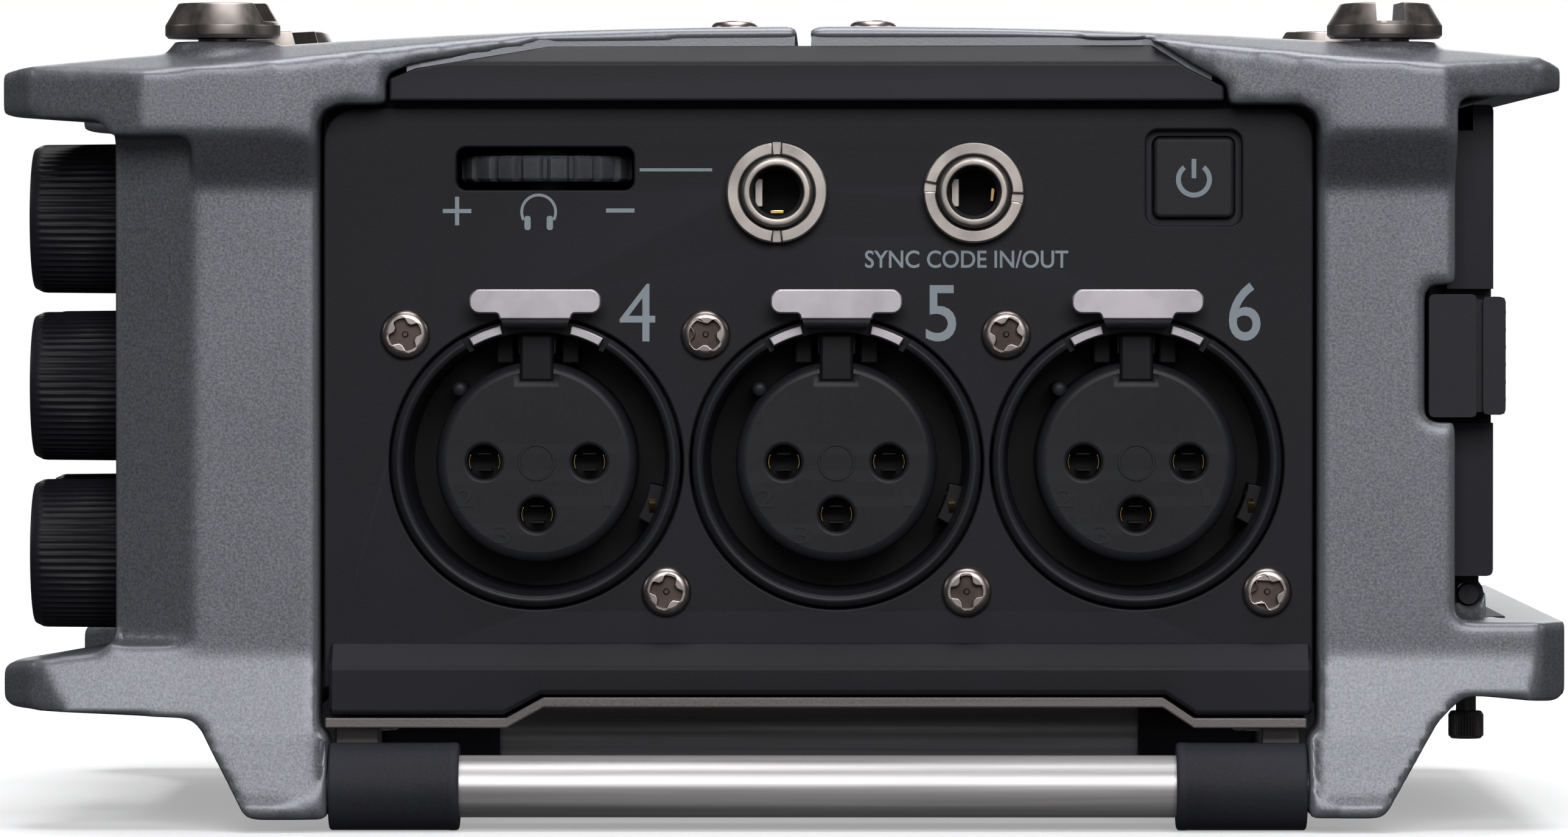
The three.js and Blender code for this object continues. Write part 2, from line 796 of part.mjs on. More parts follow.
// A sliding latch on the right end of the door, about x = 0 in the middle of the recorder.
function doorLatch() {
  const body = prismX(rectangle([49.8, 53.5], [31.9, 41.4], 0.4), [41.6, 46.1], 2);
  const neck = box([41.6, 45.8], [53.4, 54.1], [32.3, 41]);
  const grip = prismX(rectangle([53.95, 55.7], [32.1, 41.2], 0.4), [41.6, 46.4], 2);
  const lip = prismX(rectangle([55.25, 55.7], [32.1, 41.2], 0.2), [36.4, 41.7], 2);
  return union(body, neck, grip, lip);
}

function batteryHolder() {
  const { x, front, rear, bottom, top, wall } = bay;
  const shell = box([-x - wall, x + wall], [front - wall, rear], [bottom - wall, top + wall]);
  const inside = box([-x, x], [front, rear + 1], [bottom, top]);
  return cut(shell, inside);
}

function mainBoard() {
  const parts = [
    box([-39.5, 39.5], [-34, 39.8], [12.6, 14.2]),
    box([-8, 8], [-12, 4], [14.1, 15.6]),
    box([-20, -12], [6, 14], [14.1, 15.4]),
    box([12, 22], [-26, -18], [14.1, 16.2]),
    box([-24, -14], [-28, -20], [14.1, 16.2]),
    box([-9, 9], [-33, -29], [14.1, 19]),
  ];
  return union(...parts);
}

// ---------------------------------------------------------------- assembly
const finish = {
  cast: { color: 0x5d6165, roughness: 0.55, metalness: 0.5 },
  plastic: { color: 0x232429, roughness: 0.62, metalness: 0 },
  housing: { color: 0x1b1c1f, roughness: 0.42, metalness: 0 },
  plate: { color: 0x4d4948, roughness: 0.6, metalness: 0.4 },
  rubber: { color: 0x1e2024, roughness: 0.85, metalness: 0 },
  steel: { color: 0xb9b5b1, roughness: 0.22, metalness: 1 },
  nickel: { color: 0xa79f99, roughness: 0.3, metalness: 1 },
  brass: { color: 0x6c6057, roughness: 0.4, metalness: 1 },
  glass: { color: 0x101216, roughness: 0.08, metalness: 0 },
  board: { color: 0x1d4a33, roughness: 0.6, metalness: 0 },
  red: { color: 0x8e1b1b, roughness: 0.5, metalness: 0 },
  clear: { color: 0xb8bcc0, roughness: 0.5, metalness: 0 },
};
const materials = Object.fromEntries(
  Object.entries(finish).map(([name, values]) => [name, new THREE.MeshStandardMaterial(values)]),
);

function mesh(name, made, material, [x, y, z] = [0, 0, 0]) {
  const piece = new THREE.Mesh(geometryOf(made), materials[material]);
  piece.name = name;
  piece.position.set(x, y, z);
  return piece;
}

function castFrames() {
  const group = new THREE.Group();
  group.add(mesh("front_frame", frontFrame(), "cast"), mesh("rear_frame", rearFrame(), "cast"));
  for (const { name, x, y, slotTurn } of cornerScrews)
    group.add(mesh(name, cornerScrew(slotTurn), "nickel", [x, y, 0]));
  group.add(mesh("thumb_screw", thumbScrew(), "brass", [thumb.x, thumb.y, thumb.z]));
  return group;
}

function bodyCovers() {
  const group = new THREE.Group();
  const left = mesh("left_panel", leftPanel(), "plastic");
  left.rotation.z = Math.PI;
  group.add(
    mesh("top_cover", topCover(), "plastic"),
    mesh("right_panel", rightPanel(), "plastic"),
    left,
    mesh("bottom_plate", bottomPlate(), "plate"),
  );
  return group;
}

function frontControls() {
  const group = new THREE.Group();
  group.add(
    mesh("front_panel", frontPanel(), "plastic"),
    mesh("display_window", displayWindow(), "glass"),
    mesh("front_board", frontBoard(), "board"),
  );
  const keyFinish = { record_key: "red" };
  for (const spec of [...controlKeys, ...trackKeys])
    group.add(mesh(spec.name, key(spec), keyFinish[spec.name] ?? "rubber", [spec.x, 0, spec.z]));
  knobX.forEach((x, column) =>
    knobZ.forEach((z, row) =>
      group.add(mesh(`level_knob_${column * 3 + row + 1}`, knob(), "rubber", [x, -50.6, z])),
    ),
  );
  return group;
}

// One input connector on the +X side, or turned round to face -X.
function inputConnector(number, y, facesRight) {
  const group = new THREE.Group();
  group.position.set(facesRight ? panelX : -panelX, y, inputZ);
  if (!facesRight) group.rotation.z = Math.PI;
  group.add(
    mesh(`input_${number}_housing`, inputHousing(), "housing"),
    mesh(`input_${number}_latch`, inputLatch(), "nickel"),
  );
  return group;
}

function sideControls() {
  const group = new THREE.Group();
  inputY.forEach((y, i) => {
    group.add(inputConnector(i + 1, y, false), inputConnector(i + 4, y, true));
  });
  const syncJack = mesh("sync_jack", jack(), "nickel", [panelX, jackY.sync, jackZ]);
  syncJack.rotation.x = 1.45;
  group.add(
    mesh("phones_jack", jack(), "nickel", [panelX, jackY.phones, jackZ]),
    syncJack,
    mesh("volume_wheel", volumeWheel(), "rubber", [wheel.x, wheel.y, wheel.z]),
    mesh("power_button", powerButton(), "plastic", [panelX, power.y, power.z]),
  );
  const cover = mesh("port_flap", flapCover(), "rubber", [-panelX, flap.y, flap.z - flap.height / 2]);
  cover.rotation.z = Math.PI;
  group.add(cover);
  return group;
}

function carryRods() {
  const group = new THREE.Group();
  const capLength = 9.8;
  for (const [side, x] of [
    ["right", rodX],
    ["left", -rodX],
  ]) {
    group.add(
      mesh(`${side}_rod`, rod(), "steel", [x, 0, rodZ]),
      mesh(`${side}_rod_front_cap`, rodCap(capLength), "rubber", [x, legFrontY + 0.3, rodZ]),
      mesh(`${side}_rod_rear_cap`, rodCap(capLength), "rubber", [x, legRearY - 0.3 - capLength, rodZ]),
    );
  }
  return group;
}

function batteryParts() {
  const group = new THREE.Group();
  group.add(
    mesh("battery_door", batteryDoor(), "plastic"),
    mesh("right_door_latch", doorLatch(), "plastic"),
    mesh("left_door_latch", mirrorX(doorLatch()), "plastic"),
    mesh("battery_holder", batteryHolder(), "plastic"),
    mesh("main_board", mainBoard(), "board"),
  );
  return group;
}

const recorder = new THREE.Group();
recorder.add(castFrames(), bodyCovers(), frontControls(), sideControls(), carryRods(), batteryParts());

export default recorder;
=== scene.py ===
"""Looks of the portable field recorder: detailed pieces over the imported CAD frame, studio and camera.

Lengths are in millimetres until a piece is made; Blender's units are metres. Each detail is drawn flat in a
local frame (u, v, w), where w points out of the face it sits on, and is then placed on that face."""
import math
import random
import bmesh
import bpy
from mathutils import Matrix, Vector, geometry


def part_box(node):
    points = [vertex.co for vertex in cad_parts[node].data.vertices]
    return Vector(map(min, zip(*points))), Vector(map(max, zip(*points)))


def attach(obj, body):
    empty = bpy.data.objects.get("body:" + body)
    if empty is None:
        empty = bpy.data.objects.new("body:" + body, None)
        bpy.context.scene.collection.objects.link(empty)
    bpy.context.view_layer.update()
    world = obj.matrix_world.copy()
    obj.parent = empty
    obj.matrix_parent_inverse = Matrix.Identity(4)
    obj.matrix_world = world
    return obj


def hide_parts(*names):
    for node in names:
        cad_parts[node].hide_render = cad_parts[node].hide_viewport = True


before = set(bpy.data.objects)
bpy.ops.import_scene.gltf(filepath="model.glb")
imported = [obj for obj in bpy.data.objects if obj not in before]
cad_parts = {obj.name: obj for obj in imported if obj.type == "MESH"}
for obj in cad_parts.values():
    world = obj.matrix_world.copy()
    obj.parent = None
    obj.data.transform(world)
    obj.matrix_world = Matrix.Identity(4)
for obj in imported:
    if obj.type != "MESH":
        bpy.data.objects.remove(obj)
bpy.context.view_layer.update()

MM = 0.001
TAU = 2 * math.pi
scene = bpy.context.scene


# ---------------------------------------------------------------- materials
def new_material(name, color, rough, metal=0.0, **sockets):
    """A material with its plain values on the shader; keywords are socket names with _ for spaces."""
    mat = bpy.data.materials.new(name)
    mat.use_nodes = True
    bsdf = mat.node_tree.nodes["Principled BSDF"]
    bsdf.inputs["Base Color"].default_value = (*color, 1)
    bsdf.inputs["Roughness"].default_value = rough
    bsdf.inputs["Metallic"].default_value = metal
    for key, value in sockets.items():
        bsdf.inputs[key.replace("_", " ")].default_value = value
    return mat, mat.node_tree, bsdf


def noise(tree, scale, detail=2.0, stretch=(1, 1, 1), rough=0.5):
    """Noise in object space; scale is in features per metre."""
    coord = tree.nodes.new("ShaderNodeTexCoord")
    mapping = tree.nodes.new("ShaderNodeMapping")
    mapping.inputs["Scale"].default_value = stretch
    tex = tree.nodes.new("ShaderNodeTexNoise")
    tex.inputs["Scale"].default_value = scale
    tex.inputs["Detail"].default_value = detail
    tex.inputs["Roughness"].default_value = rough
    tree.links.new(coord.outputs["Object"], mapping.inputs["Vector"])
    tree.links.new(mapping.outputs["Vector"], tex.inputs["Vector"])
    return tex.outputs["Fac"]


def ramp(tree, fac, stops):
    node = tree.nodes.new("ShaderNodeValToRGB")
    while len(node.color_ramp.elements) < len(stops):
        node.color_ramp.elements.new(0.5)
    for element, (place, color) in zip(node.color_ramp.elements, stops):
        element.position = place
        element.color = (*color, 1) if len(color) == 3 else color
    tree.links.new(fac, node.inputs["Fac"])
    return node.outputs["Color"]


def mix(tree, fac, a, b, blend="MIX"):
    node = tree.nodes.new("ShaderNodeMix")
    node.data_type = "RGBA"
    node.blend_type = blend
    for socket, value in ((0, fac), (6, a), (7, b)):
        if isinstance(value, (int, float)):
            node.inputs[socket].default_value = value
        elif isinstance(value, tuple):
            node.inputs[socket].default_value = (*value, 1)
        else:
            tree.links.new(value, node.inputs[socket])
    return node.outputs[2]


def spread(tree, fac, low, high):
    """Maps a 0 to 1 signal to low to high."""
    node = tree.nodes.new("ShaderNodeMapRange")
    node.inputs["To Min"].default_value = low
    node.inputs["To Max"].default_value = high
    tree.links.new(fac, node.inputs["Value"])
    return node.outputs["Result"]


def add_bump(tree, bsdf, height, strength, distance_mm):
    bump = tree.nodes.new("ShaderNodeBump")
    bump.inputs["Strength"].default_value = strength
    bump.inputs["Distance"].default_value = distance_mm * MM
    tree.links.new(height, bump.inputs["Height"])
    tree.links.new(bump.outputs["Normal"], bsdf.inputs["Normal"])


def scaled(color, k):
    return tuple(c * k for c in color)


def edge_wear(tree):
    geo = tree.nodes.new("ShaderNodeNewGeometry")
    return ramp(tree, geo.outputs["Pointiness"], [(0.505, (0, 0, 0)), (0.56, (1, 1, 1))])


def cast_metal(name="cast_grey", color=(0.142, 0.145, 0.161)):
    """Blasted, thinly coated casting: a fine salt-and-pepper grain over slow patches."""
    mat, tree, bsdf = new_material(name, color, 0.46, 0.55)
    grain = noise(tree, 5200, 3, rough=0.62)
    speck = ramp(tree, grain, [(0.33, scaled(color, 0.68)), (0.5, color), (0.68, scaled(color, 1.38))])
    tint = ramp(tree, noise(tree, 1500, 2), [(0.4, (0.985, 0.995, 1.02)), (0.62, (1.02, 1.0, 0.985))])
    patch = ramp(tree, noise(tree, 90, 3), [(0.3, (0.93, 0.93, 0.93)), (0.7, (1.05, 1.05, 1.05))])
    shade = mix(tree, 1.0, mix(tree, 1.0, speck, tint, "MULTIPLY"), patch, "MULTIPLY")
    worn = mix(tree, edge_wear(tree), shade, scaled(color, 1.35))
    tree.links.new(worn, bsdf.inputs["Base Color"])
    tree.links.new(spread(tree, grain, 0.36, 0.5), bsdf.inputs["Roughness"])
    add_bump(tree, bsdf, grain, 0.3, 0.035)
    return mat


def moulded(name, color, rough, grain_scale=5200, depth=0.02, strength=0.3, wear=1.6):
    """Moulded plastic or rubber with an etched texture, slow shade changes and paler edges."""
    mat, tree, bsdf = new_material(name, color, rough, Specular_IOR_Level=0.16)
    grain = noise(tree, grain_scale, 2)
    slow = noise(tree, 120, 3)
    shade = ramp(tree, slow, [(0.3, scaled(color, 0.88)), (0.7, scaled(color, 1.14))])
    fine = mix(tree, 1.0, shade, ramp(tree, grain, [(0.3, (0.86,) * 3), (0.7, (1.14,) * 3)]), "MULTIPLY")
    worn = mix(tree, edge_wear(tree), fine, scaled(color, wear))
    tree.links.new(worn, bsdf.inputs["Base Color"])
    tree.links.new(spread(tree, slow, rough - 0.05, rough + 0.06), bsdf.inputs["Roughness"])
    add_bump(tree, bsdf, grain, strength, depth)
    return mat


def bare_metal(name, color, rough, stretch=(1, 1, 1), scale=900, strength=0.12, dirt=0.75):
    """Plated or polished metal: stretched polishing marks, and a dull film in patches."""
    mat, tree, bsdf = new_material(name, color, rough, 1.0)
    marks = noise(tree, scale, 3, stretch)
    film = noise(tree, 260, 3)
    shade = ramp(tree, film, [(0.32, scaled(color, dirt)), (0.6, color)])
    tree.links.new(shade, bsdf.inputs["Base Color"])
    tree.links.new(spread(tree, marks, rough * 0.7, rough * 1.45), bsdf.inputs["Roughness"])
    add_bump(tree, bsdf, marks, strength, 0.01)
    return mat


def drawn_rod():
    """Polished drawn steel: long streaks of different shade and gloss run along it."""
    color = (0.53, 0.51, 0.515)
    mat, tree, bsdf = new_material("rod_steel", color, 0.3, 0.55)
    wide = noise(tree, 700, 3, (1, 0.012, 1))
    fine = noise(tree, 3600, 2, (1, 0.02, 1))
    streak = ramp(tree, wide, [(0.34, scaled(color, 0.58)), (0.52, color), (0.7, scaled(color, 1.18))])
    shade = mix(tree, 1.0, streak, ramp(tree, fine, [(0.3, (0.86,) * 3), (0.7, (1.0,) * 3)]), "MULTIPLY")
    tree.links.new(shade, bsdf.inputs["Base Color"])
    tree.links.new(spread(tree, wide, 0.3, 0.48), bsdf.inputs["Roughness"])
    add_bump(tree, bsdf, fine, 0.1, 0.006)
    return mat


CAST = cast_metal()
PANEL = moulded("grained_black", (0.0098, 0.0092, 0.0128), 0.5)
COVER = moulded("cover_black", (0.0140, 0.0138, 0.0175), 0.46)
HOUSING = moulded("connector_black", (0.0132, 0.0136, 0.0168), 0.4, 2600, 0.006, 0.12, 1.3)
# The cavity material below is a darker copy of the connector black: painted shade for the insides of holes,
# slots and gaps.
CAVITY_SHADE = moulded("cavity_shade_black", (0.006, 0.006, 0.008), 0.5, 2600, 0.006, 0.1, 1.2)
RUBBER = moulded("rubber_black", (0.0200, 0.0205, 0.0262), 0.62, 4200, 0.03, 0.35, 1.5)
KNOB = moulded("knob_black", (0.0080, 0.0078, 0.0108), 0.45, 3600, 0.012, 0.2, 1.8)
KEY = moulded("key_grey", (0.045, 0.047, 0.052), 0.55, 3600, 0.015, 0.25, 1.4)
RED_KEY = moulded("key_red", (0.30, 0.022, 0.02), 0.5, 3600, 0.015, 0.25, 1.3)
PRINT = moulded("print_grey", (0.235, 0.270, 0.305), 0.6, 4200, 0.004, 0.1, 1.1)
PLATE = cast_metal("plate_brown", (0.115, 0.103, 0.100))
ROD = drawn_rod()
NICKEL = bare_metal("bright_nickel", (0.385, 0.36, 0.385), 0.36, (1, 0.3, 0.3), 1600, 0.2, 0.8)
NUT = bare_metal("nut_nickel", (0.35, 0.315, 0.295), 0.36, (1, 1, 1), 1400, 0.15, 0.66)
# The recess material below is the screw metal darkened to about a quarter: painted shade on the floors of the
# cross recesses.
RECESS_SHADE = bare_metal("recess_shade_brown", (0.085, 0.064, 0.058), 0.4, (1, 1, 1), 1300, 0.15, 0.6)
SCREW = bare_metal("screw_nickel", (0.34, 0.295, 0.28), 0.3, (1, 1, 1), 1300, 0.15, 0.6)
DARK_NICKEL = bare_metal("dark_nickel", (0.235, 0.208, 0.195), 0.34, (1, 1, 0.5), 1500, 0.15, 0.72)
GOLD = bare_metal("contact_gold", (0.50, 0.33, 0.15), 0.26, (1, 1, 1), 1500, 0.1)
BRASS = bare_metal("brass", (0.52, 0.36, 0.15), 0.3, (1, 1, 1), 1500, 0.1)
BOARD = moulded("board_green", (0.012, 0.075, 0.045), 0.45, 900, 0.02, 0.2, 1.3)
CELL_WRAP = moulded("cell_wrap", (0.05, 0.07, 0.12), 0.3, 700, 0.004, 0.1, 1.2)


def screen_material():
    mat, tree, bsdf = new_material("screen_window", (0.006, 0.007, 0.009), 0.06, Coat_Weight=0.6)
    haze = noise(tree, 140, 3)
    tone = ramp(tree, haze, [(0.3, (0.005, 0.006, 0.008)), (0.7, (0.009, 0.010, 0.013))])
    tree.links.new(tone, bsdf.inputs["Base Color"])
    tree.links.new(spread(tree, haze, 0.05, 0.1), bsdf.inputs["Roughness"])
    return mat


SCREEN = screen_material()

# ---------------------------------------------------------------- placing
FACES = {
    "right": ((0, 1, 0), (0, 0, 1), (1, 0, 0)),
    "left": ((0, -1, 0), (0, 0, 1), (-1, 0, 0)),
    "front": ((1, 0, 0), (0, 0, 1), (0, -1, 0)),
    "rear": ((-1, 0, 0), (0, 0, 1), (0, 1, 0)),
    "top": ((1, 0, 0), (0, 1, 0), (0, 0, 1)),
    "under": ((-1, 0, 0), (0, 1, 0), (0, 0, -1)),
}


def on(face, x=0, y=0, z=0):
    """The matrix from (u, v, w) on a face to the recorder's frame, in millimetres."""
    m = Matrix.Identity(4)
    for column, axis in enumerate(FACES[face]):
        for row in range(3):
            m[row][column] = axis[row]
    m.translation = (x, y, z)
    return m


def box_mm(node):
    lo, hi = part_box(node)
    return lo / MM, hi / MM


def centre(node):
    lo, hi = box_mm(node)
    return (lo + hi) / 2


def span(a, b, n):
    return [a + (b - a) * i / n for i in range(n + 1)]


# ---------------------------------------------------------------- outlines
def fillet(before, p, after, steps):
    """The arc that rounds the corner p, an (x, y, radius), between its two neighbours."""
    corner = Vector(p[:2])
    a = (Vector(before[:2]) - corner).normalized()
    b = (Vector(after[:2]) - corner).normalized()
    half = a.angle(b) / 2
    middle = corner + (a + b).normalized() * (p[2] / math.sin(half))
    s = corner + a * (p[2] / math.tan(half)) - middle
    e = corner + b * (p[2] / math.tan(half)) - middle
    turn = math.atan2(s.x * e.y - s.y * e.x, s.dot(e))
    return [middle + Matrix.Rotation(turn * k / steps, 2) @ s for k in range(steps + 1)]


def rounded(points, steps=6):
    """A closed outline; a third value on a point rounds that corner to that radius."""
    out = []
    for i, p in enumerate(points):
        if len(p) > 2 and p[2]:
            out += fillet(points[i - 1], p, points[(i + 1) % len(points)], steps)
        else:
            out.append(Vector(p[:2]))
    return out


def rect(u0, u1, v0, v1, r=0, steps=6):
    return rounded([(u0, v0, r), (u1, v0, r), (u1, v1, r), (u0, v1, r)], steps)


def circle(u, v, r, n=64):
    return [Vector((u + r * math.cos(TAU * i / n), v + r * math.sin(TAU * i / n))) for i in range(n)]


def polar(r, a):
    """The point r from the centre, a degrees clockwise from straight up."""
    return Vector((r * math.sin(math.radians(a)), r * math.cos(math.radians(a))))


def sector(r0, r1, a0, a1, n=16):
    """Part of a ring; degrees are counted from straight up, clockwise."""
    return [polar(r0, a) for a in span(a0, a1, n)] + [polar(r1, a) for a in span(a1, a0, n)]


def swept(profile, a0, a1, n):
    """Loft rings of a (radius, w) profile turned from a0 to a1 degrees, clockwise from straight up."""
    rings = []
    for a in span(a0, a1, n):
        s, k = math.sin(math.radians(a)), math.cos(math.radians(a))
        rings.append([(r * s, r * k, w) for r, w in profile][::-1])
    return rings


def area(loop):
    return sum(a.x * b.y - a.y * b.x for a, b in zip(loop, loop[1:] + loop[:1])) / 2


def inset(loop, d):
    """The loop moved to its left by d."""
    n = len(loop)
    out = []
    for i in range(n):
        a, b, c = loop[i - 1], loop[i], loop[(i + 1) % n]
        e1, e2 = (b - a).normalized(), (c - b).normalized()
        n1, n2 = Vector((-e1.y, e1.x)), Vector((-e2.y, e2.x))
        k = n1 + n2
        scale = 2 * d / max(k.length_squared, 0.5)
        out.append(b + k * scale)
    return out


# ---------------------------------------------------------------- shapes
class Shape:
    """Closed shells gathered for one piece, in millimetres."""

    def __init__(self):
        self.verts, self.faces, self.mats, self.flat = [], [], [], []

    def shell(self, verts, faces, mat=0, at=None, flat_from=None):
        base = len(self.verts)
        flip = at is not None and at.determinant() < 0
        for v in verts:
            v = Vector(v)
            self.verts.append(at @ v if at is not None else v)
        for k, f in enumerate(faces):
            f = [base + i for i in f]
            self.faces.append(f[::-1] if flip else f)
            self.mats.append(mat)
            self.flat.append(flat_from is not None and k >= flat_from)
        return self

    def plate(
        self, outer, w0, w1, holes=(), bevel=0.15, back_bevel=0.0, steps=2, mat=0, at=None, hole_bevel=None
    ):
        """A plate with holes between w0 and w1, its front and back edges rounded."""
        loops = [outer if area(outer) > 0 else outer[::-1]]
        loops += [h if area(h) < 0 else h[::-1] for h in holes]
        verts, faces, first = [], [], []
        for number, loop in enumerate(loops):
            front = bevel if number == 0 or hole_bevel is None else hole_bevel
            levels = []
            if back_bevel:
                for t in span(0, math.pi / 2, steps):
                    levels.append((back_bevel * (1 - math.sin(t)), w0 + back_bevel * (1 - math.cos(t))))
            else:
                levels.append((0, w0))
            if front:
                for t in span(0, math.pi / 2, steps):
                    levels.append((front * (1 - math.cos(t)), w1 - front * (1 - math.sin(t))))
            else:
                levels.append((0, w1))
            rings = []
            for d, w in levels:
                rings.append(len(verts))
                verts += [(*p, w) for p in (inset(loop, d) if d else loop)]
            n = len(loop)
            for a, b in zip(rings, rings[1:]):
                faces += [(a + i, a + (i + 1) % n, b + (i + 1) % n, b + i) for i in range(n)]
            first.append((rings[0], rings[-1], n))
        sides = len(faces)
        for end, flip in ((0, True), (1, False)):
            ids = [f[end] + i for f in first for i in range(f[2])]
            flat = [[Vector(verts[f[end] + i][:2]).to_3d() for i in range(f[2])] for f in first]
            for tri in geometry.tessellate_polygon(flat):
                t = [ids[i] for i in tri]
                p = [Vector(verts[i][:2]) for i in t]
                ccw = (p[1] - p[0]).cross(p[2] - p[0]) > 0
                faces.append(t if ccw != flip else t[::-1])
        return self.shell(verts, faces, mat, at, flat_from=sides)

    def lathe(self, profile, n=64, mat=0, at=None, wobble=None, steps=4):
        """Turned about w from (radius, w, fillet) points in order from back to front round the outside."""
        pts = round_open(profile, steps)
        verts, faces, rows = [], [], []
        for r, w in pts:
            if r < 1e-6:
                rows.append([len(verts)])
                verts.append((0, 0, w))
                continue
            row = []
            for i in range(n):
                t = TAU * i / n
                q = wobble(t, r, w) if wobble else r
                row.append(len(verts))
                verts.append((q * math.cos(t), q * math.sin(t), w))
            rows.append(row)
        for a, b in zip(rows, rows[1:]):
            if len(a) == 1 and len(b) == 1:
                continue
            for i in range(n):
                j = (i + 1) % n
                if len(a) == 1:
                    faces.append((a[0], b[j], b[i]))
                elif len(b) == 1:
                    faces.append((a[i], a[j], b[0]))
                else:
                    faces.append((a[i], a[j], b[j], b[i]))
        if len(rows[0]) > 1 and len(rows[-1]) > 1:
            a, b = rows[-1], rows[0]
            faces += [(a[i], a[(i + 1) % n], b[(i + 1) % n], b[i]) for i in range(n)]
        return self.shell(verts, faces, mat, at)

    def loft(self, rings, mat=0, at=None):
        """A skin through rings of equally many points, with flat ends."""
        n = len(rings[0])
        verts = [p for ring in rings for p in ring]
        faces = [
            (r * n + i, r * n + (i + 1) % n, (r + 1) * n + (i + 1) % n, (r + 1) * n + i)
            for r in range(len(rings) - 1)
            for i in range(n)
        ]
        faces += [tuple(range(n))[::-1], tuple((len(rings) - 1) * n + i for i in range(n))]
        return self.shell(verts, faces, mat, at)

    def letters(self, text, u0, u1, v0, v1, w0=-0.01, w1=0.03, weight=0.0, mat=0, at=None):
        """Printed or raised characters, fitted to a rectangle."""
        curve = bpy.data.curves.new("letters", "FONT")
        curve.body, curve.size, curve.extrude, curve.resolution_u, curve.offset = text, 1, 0.5, 5, weight
        obj = bpy.data.objects.new("letters", curve)
        scene.collection.objects.link(obj)
        bpy.context.view_layer.update()
        me = bpy.data.meshes.new_from_object(obj.evaluated_get(bpy.context.evaluated_depsgraph_get()))
        bm = bmesh.new()
        bm.from_mesh(me)
        bmesh.ops.remove_doubles(bm, verts=bm.verts, dist=1e-5)
        bm.verts.ensure_lookup_table()
        xs, ys = [v.co.x for v in bm.verts], [v.co.y for v in bm.verts]
        across, upward = (min(xs), max(xs)), (min(ys), max(ys))
        fit = lambda value, low, high, a, b: a + (b - a) * (value - low) / (high - low)
        verts = [
            (fit(v.co.x, *across, u0, u1), fit(v.co.y, *upward, v0, v1), w1 if v.co.z > 0 else w0)
            for v in bm.verts
        ]
        faces = [[v.index for v in f.verts] for f in bm.faces]
        bm.free()
        bpy.data.objects.remove(obj)
        bpy.data.curves.remove(curve)
        bpy.data.meshes.remove(me)
        return self.shell(verts, faces, mat, at)

    def piece(self, name, mats, body="recorder", slot="plastic", stands_for=(), sharp=34, soften=None):
        me = bpy.data.meshes.new(name)
        me.from_pydata([v * MM for v in self.verts], [], self.faces)
        for m in mats if isinstance(mats, (list, tuple)) else [mats]:
            me.materials.append(m)
        me.polygons.foreach_set("material_index", self.mats)
        obj = bpy.data.objects.new(name, me)
        scene.collection.objects.link(obj)
        finish_piece(obj, body, stands_for, sharp, soften)
        bm = bmesh.new()
        bm.from_mesh(me)
        bm.faces.ensure_lookup_table()
        for edge in bm.edges:
            kinds = {self.flat[f.index] for f in edge.link_faces}
            if len(kinds) > 1:
                edge.smooth = False
        bm.to_mesh(me)
        bm.free()
        return obj


def round_open(profile, steps):
    """Rounds the inner corners of an open profile of (r, w, fillet) points."""
    out = []
    for i, p in enumerate(profile):
        if len(p) > 2 and p[2] and 0 < i < len(profile) - 1:
            out += [tuple(q) for q in fillet(profile[i - 1], p, profile[i + 1], steps)]
        else:
            out.append(tuple(Vector(p[:2])))
    return out


def add_bevel(obj, width, segments=2, angle=30):
    mod = obj.modifiers.new("edges", "BEVEL")
    mod.width = width * MM
    mod.segments = segments
    mod.limit_method = "ANGLE"
    mod.angle_limit = math.radians(angle)
    return mod


def even_shading(obj):
    obj.modifiers.new("even_shading", "WEIGHTED_NORMAL").keep_sharp = True


def finish_piece(obj, body, stands_for=(), sharp=34, soften=None):
    me = obj.data
    me.polygons.foreach_set("use_smooth", [True] * len(me.polygons))
    me.set_sharp_from_angle(angle=math.radians(sharp))
    if soften:
        add_bevel(obj, soften)
    even_shading(obj)
    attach(obj, body)
    if stands_for:
        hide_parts(*([stands_for] if isinstance(stands_for, str) else stands_for))
    return obj


def applied(obj):
    """The object's mesh with its modifiers applied."""
    bpy.context.view_layer.update()
    me = bpy.data.meshes.new_from_object(obj.evaluated_get(bpy.context.evaluated_depsgraph_get()))
    obj.modifiers.clear()
    obj.data = me
    return obj


VOXEL = 0.42
SMOOTHING_PASSES = 5


def rounded_copy(node, name, material, body):
    """A copy of a CAD node with every edge softened, as on a casting or a thick moulding."""
    obj = bpy.data.objects.new(name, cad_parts[node].data.copy())
    scene.collection.objects.link(obj)
    remesh = obj.modifiers.new("remesh", "REMESH")
    remesh.mode = "VOXEL"
    remesh.voxel_size = VOXEL * MM
    soft = obj.modifiers.new("soft", "SMOOTH")
    soft.factor = 0.5
    soft.iterations = SMOOTHING_PASSES
    applied(obj)
    obj.data.materials.clear()
    obj.data.materials.append(material)
    obj.data.polygons.foreach_set("use_smooth", [True] * len(obj.data.polygons))
    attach(obj, body)
    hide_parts(node)
    return obj


def dress(node, material, bevel=0.2, segments=2):
    """Gives a CAD node that stays its material and soft edges."""
    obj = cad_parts[node]
    obj.data.materials.clear()
    obj.data.materials.append(material)
    weld = obj.modifiers.new("weld", "WELD")
    weld.merge_threshold = 1e-6
    flat = obj.modifiers.new("flat", "DECIMATE")
    flat.decimate_type = "DISSOLVE"
    flat.angle_limit = math.radians(0.5)
    if bevel:
        add_bevel(obj, bevel, segments)
    even_shading(obj)
    return obj


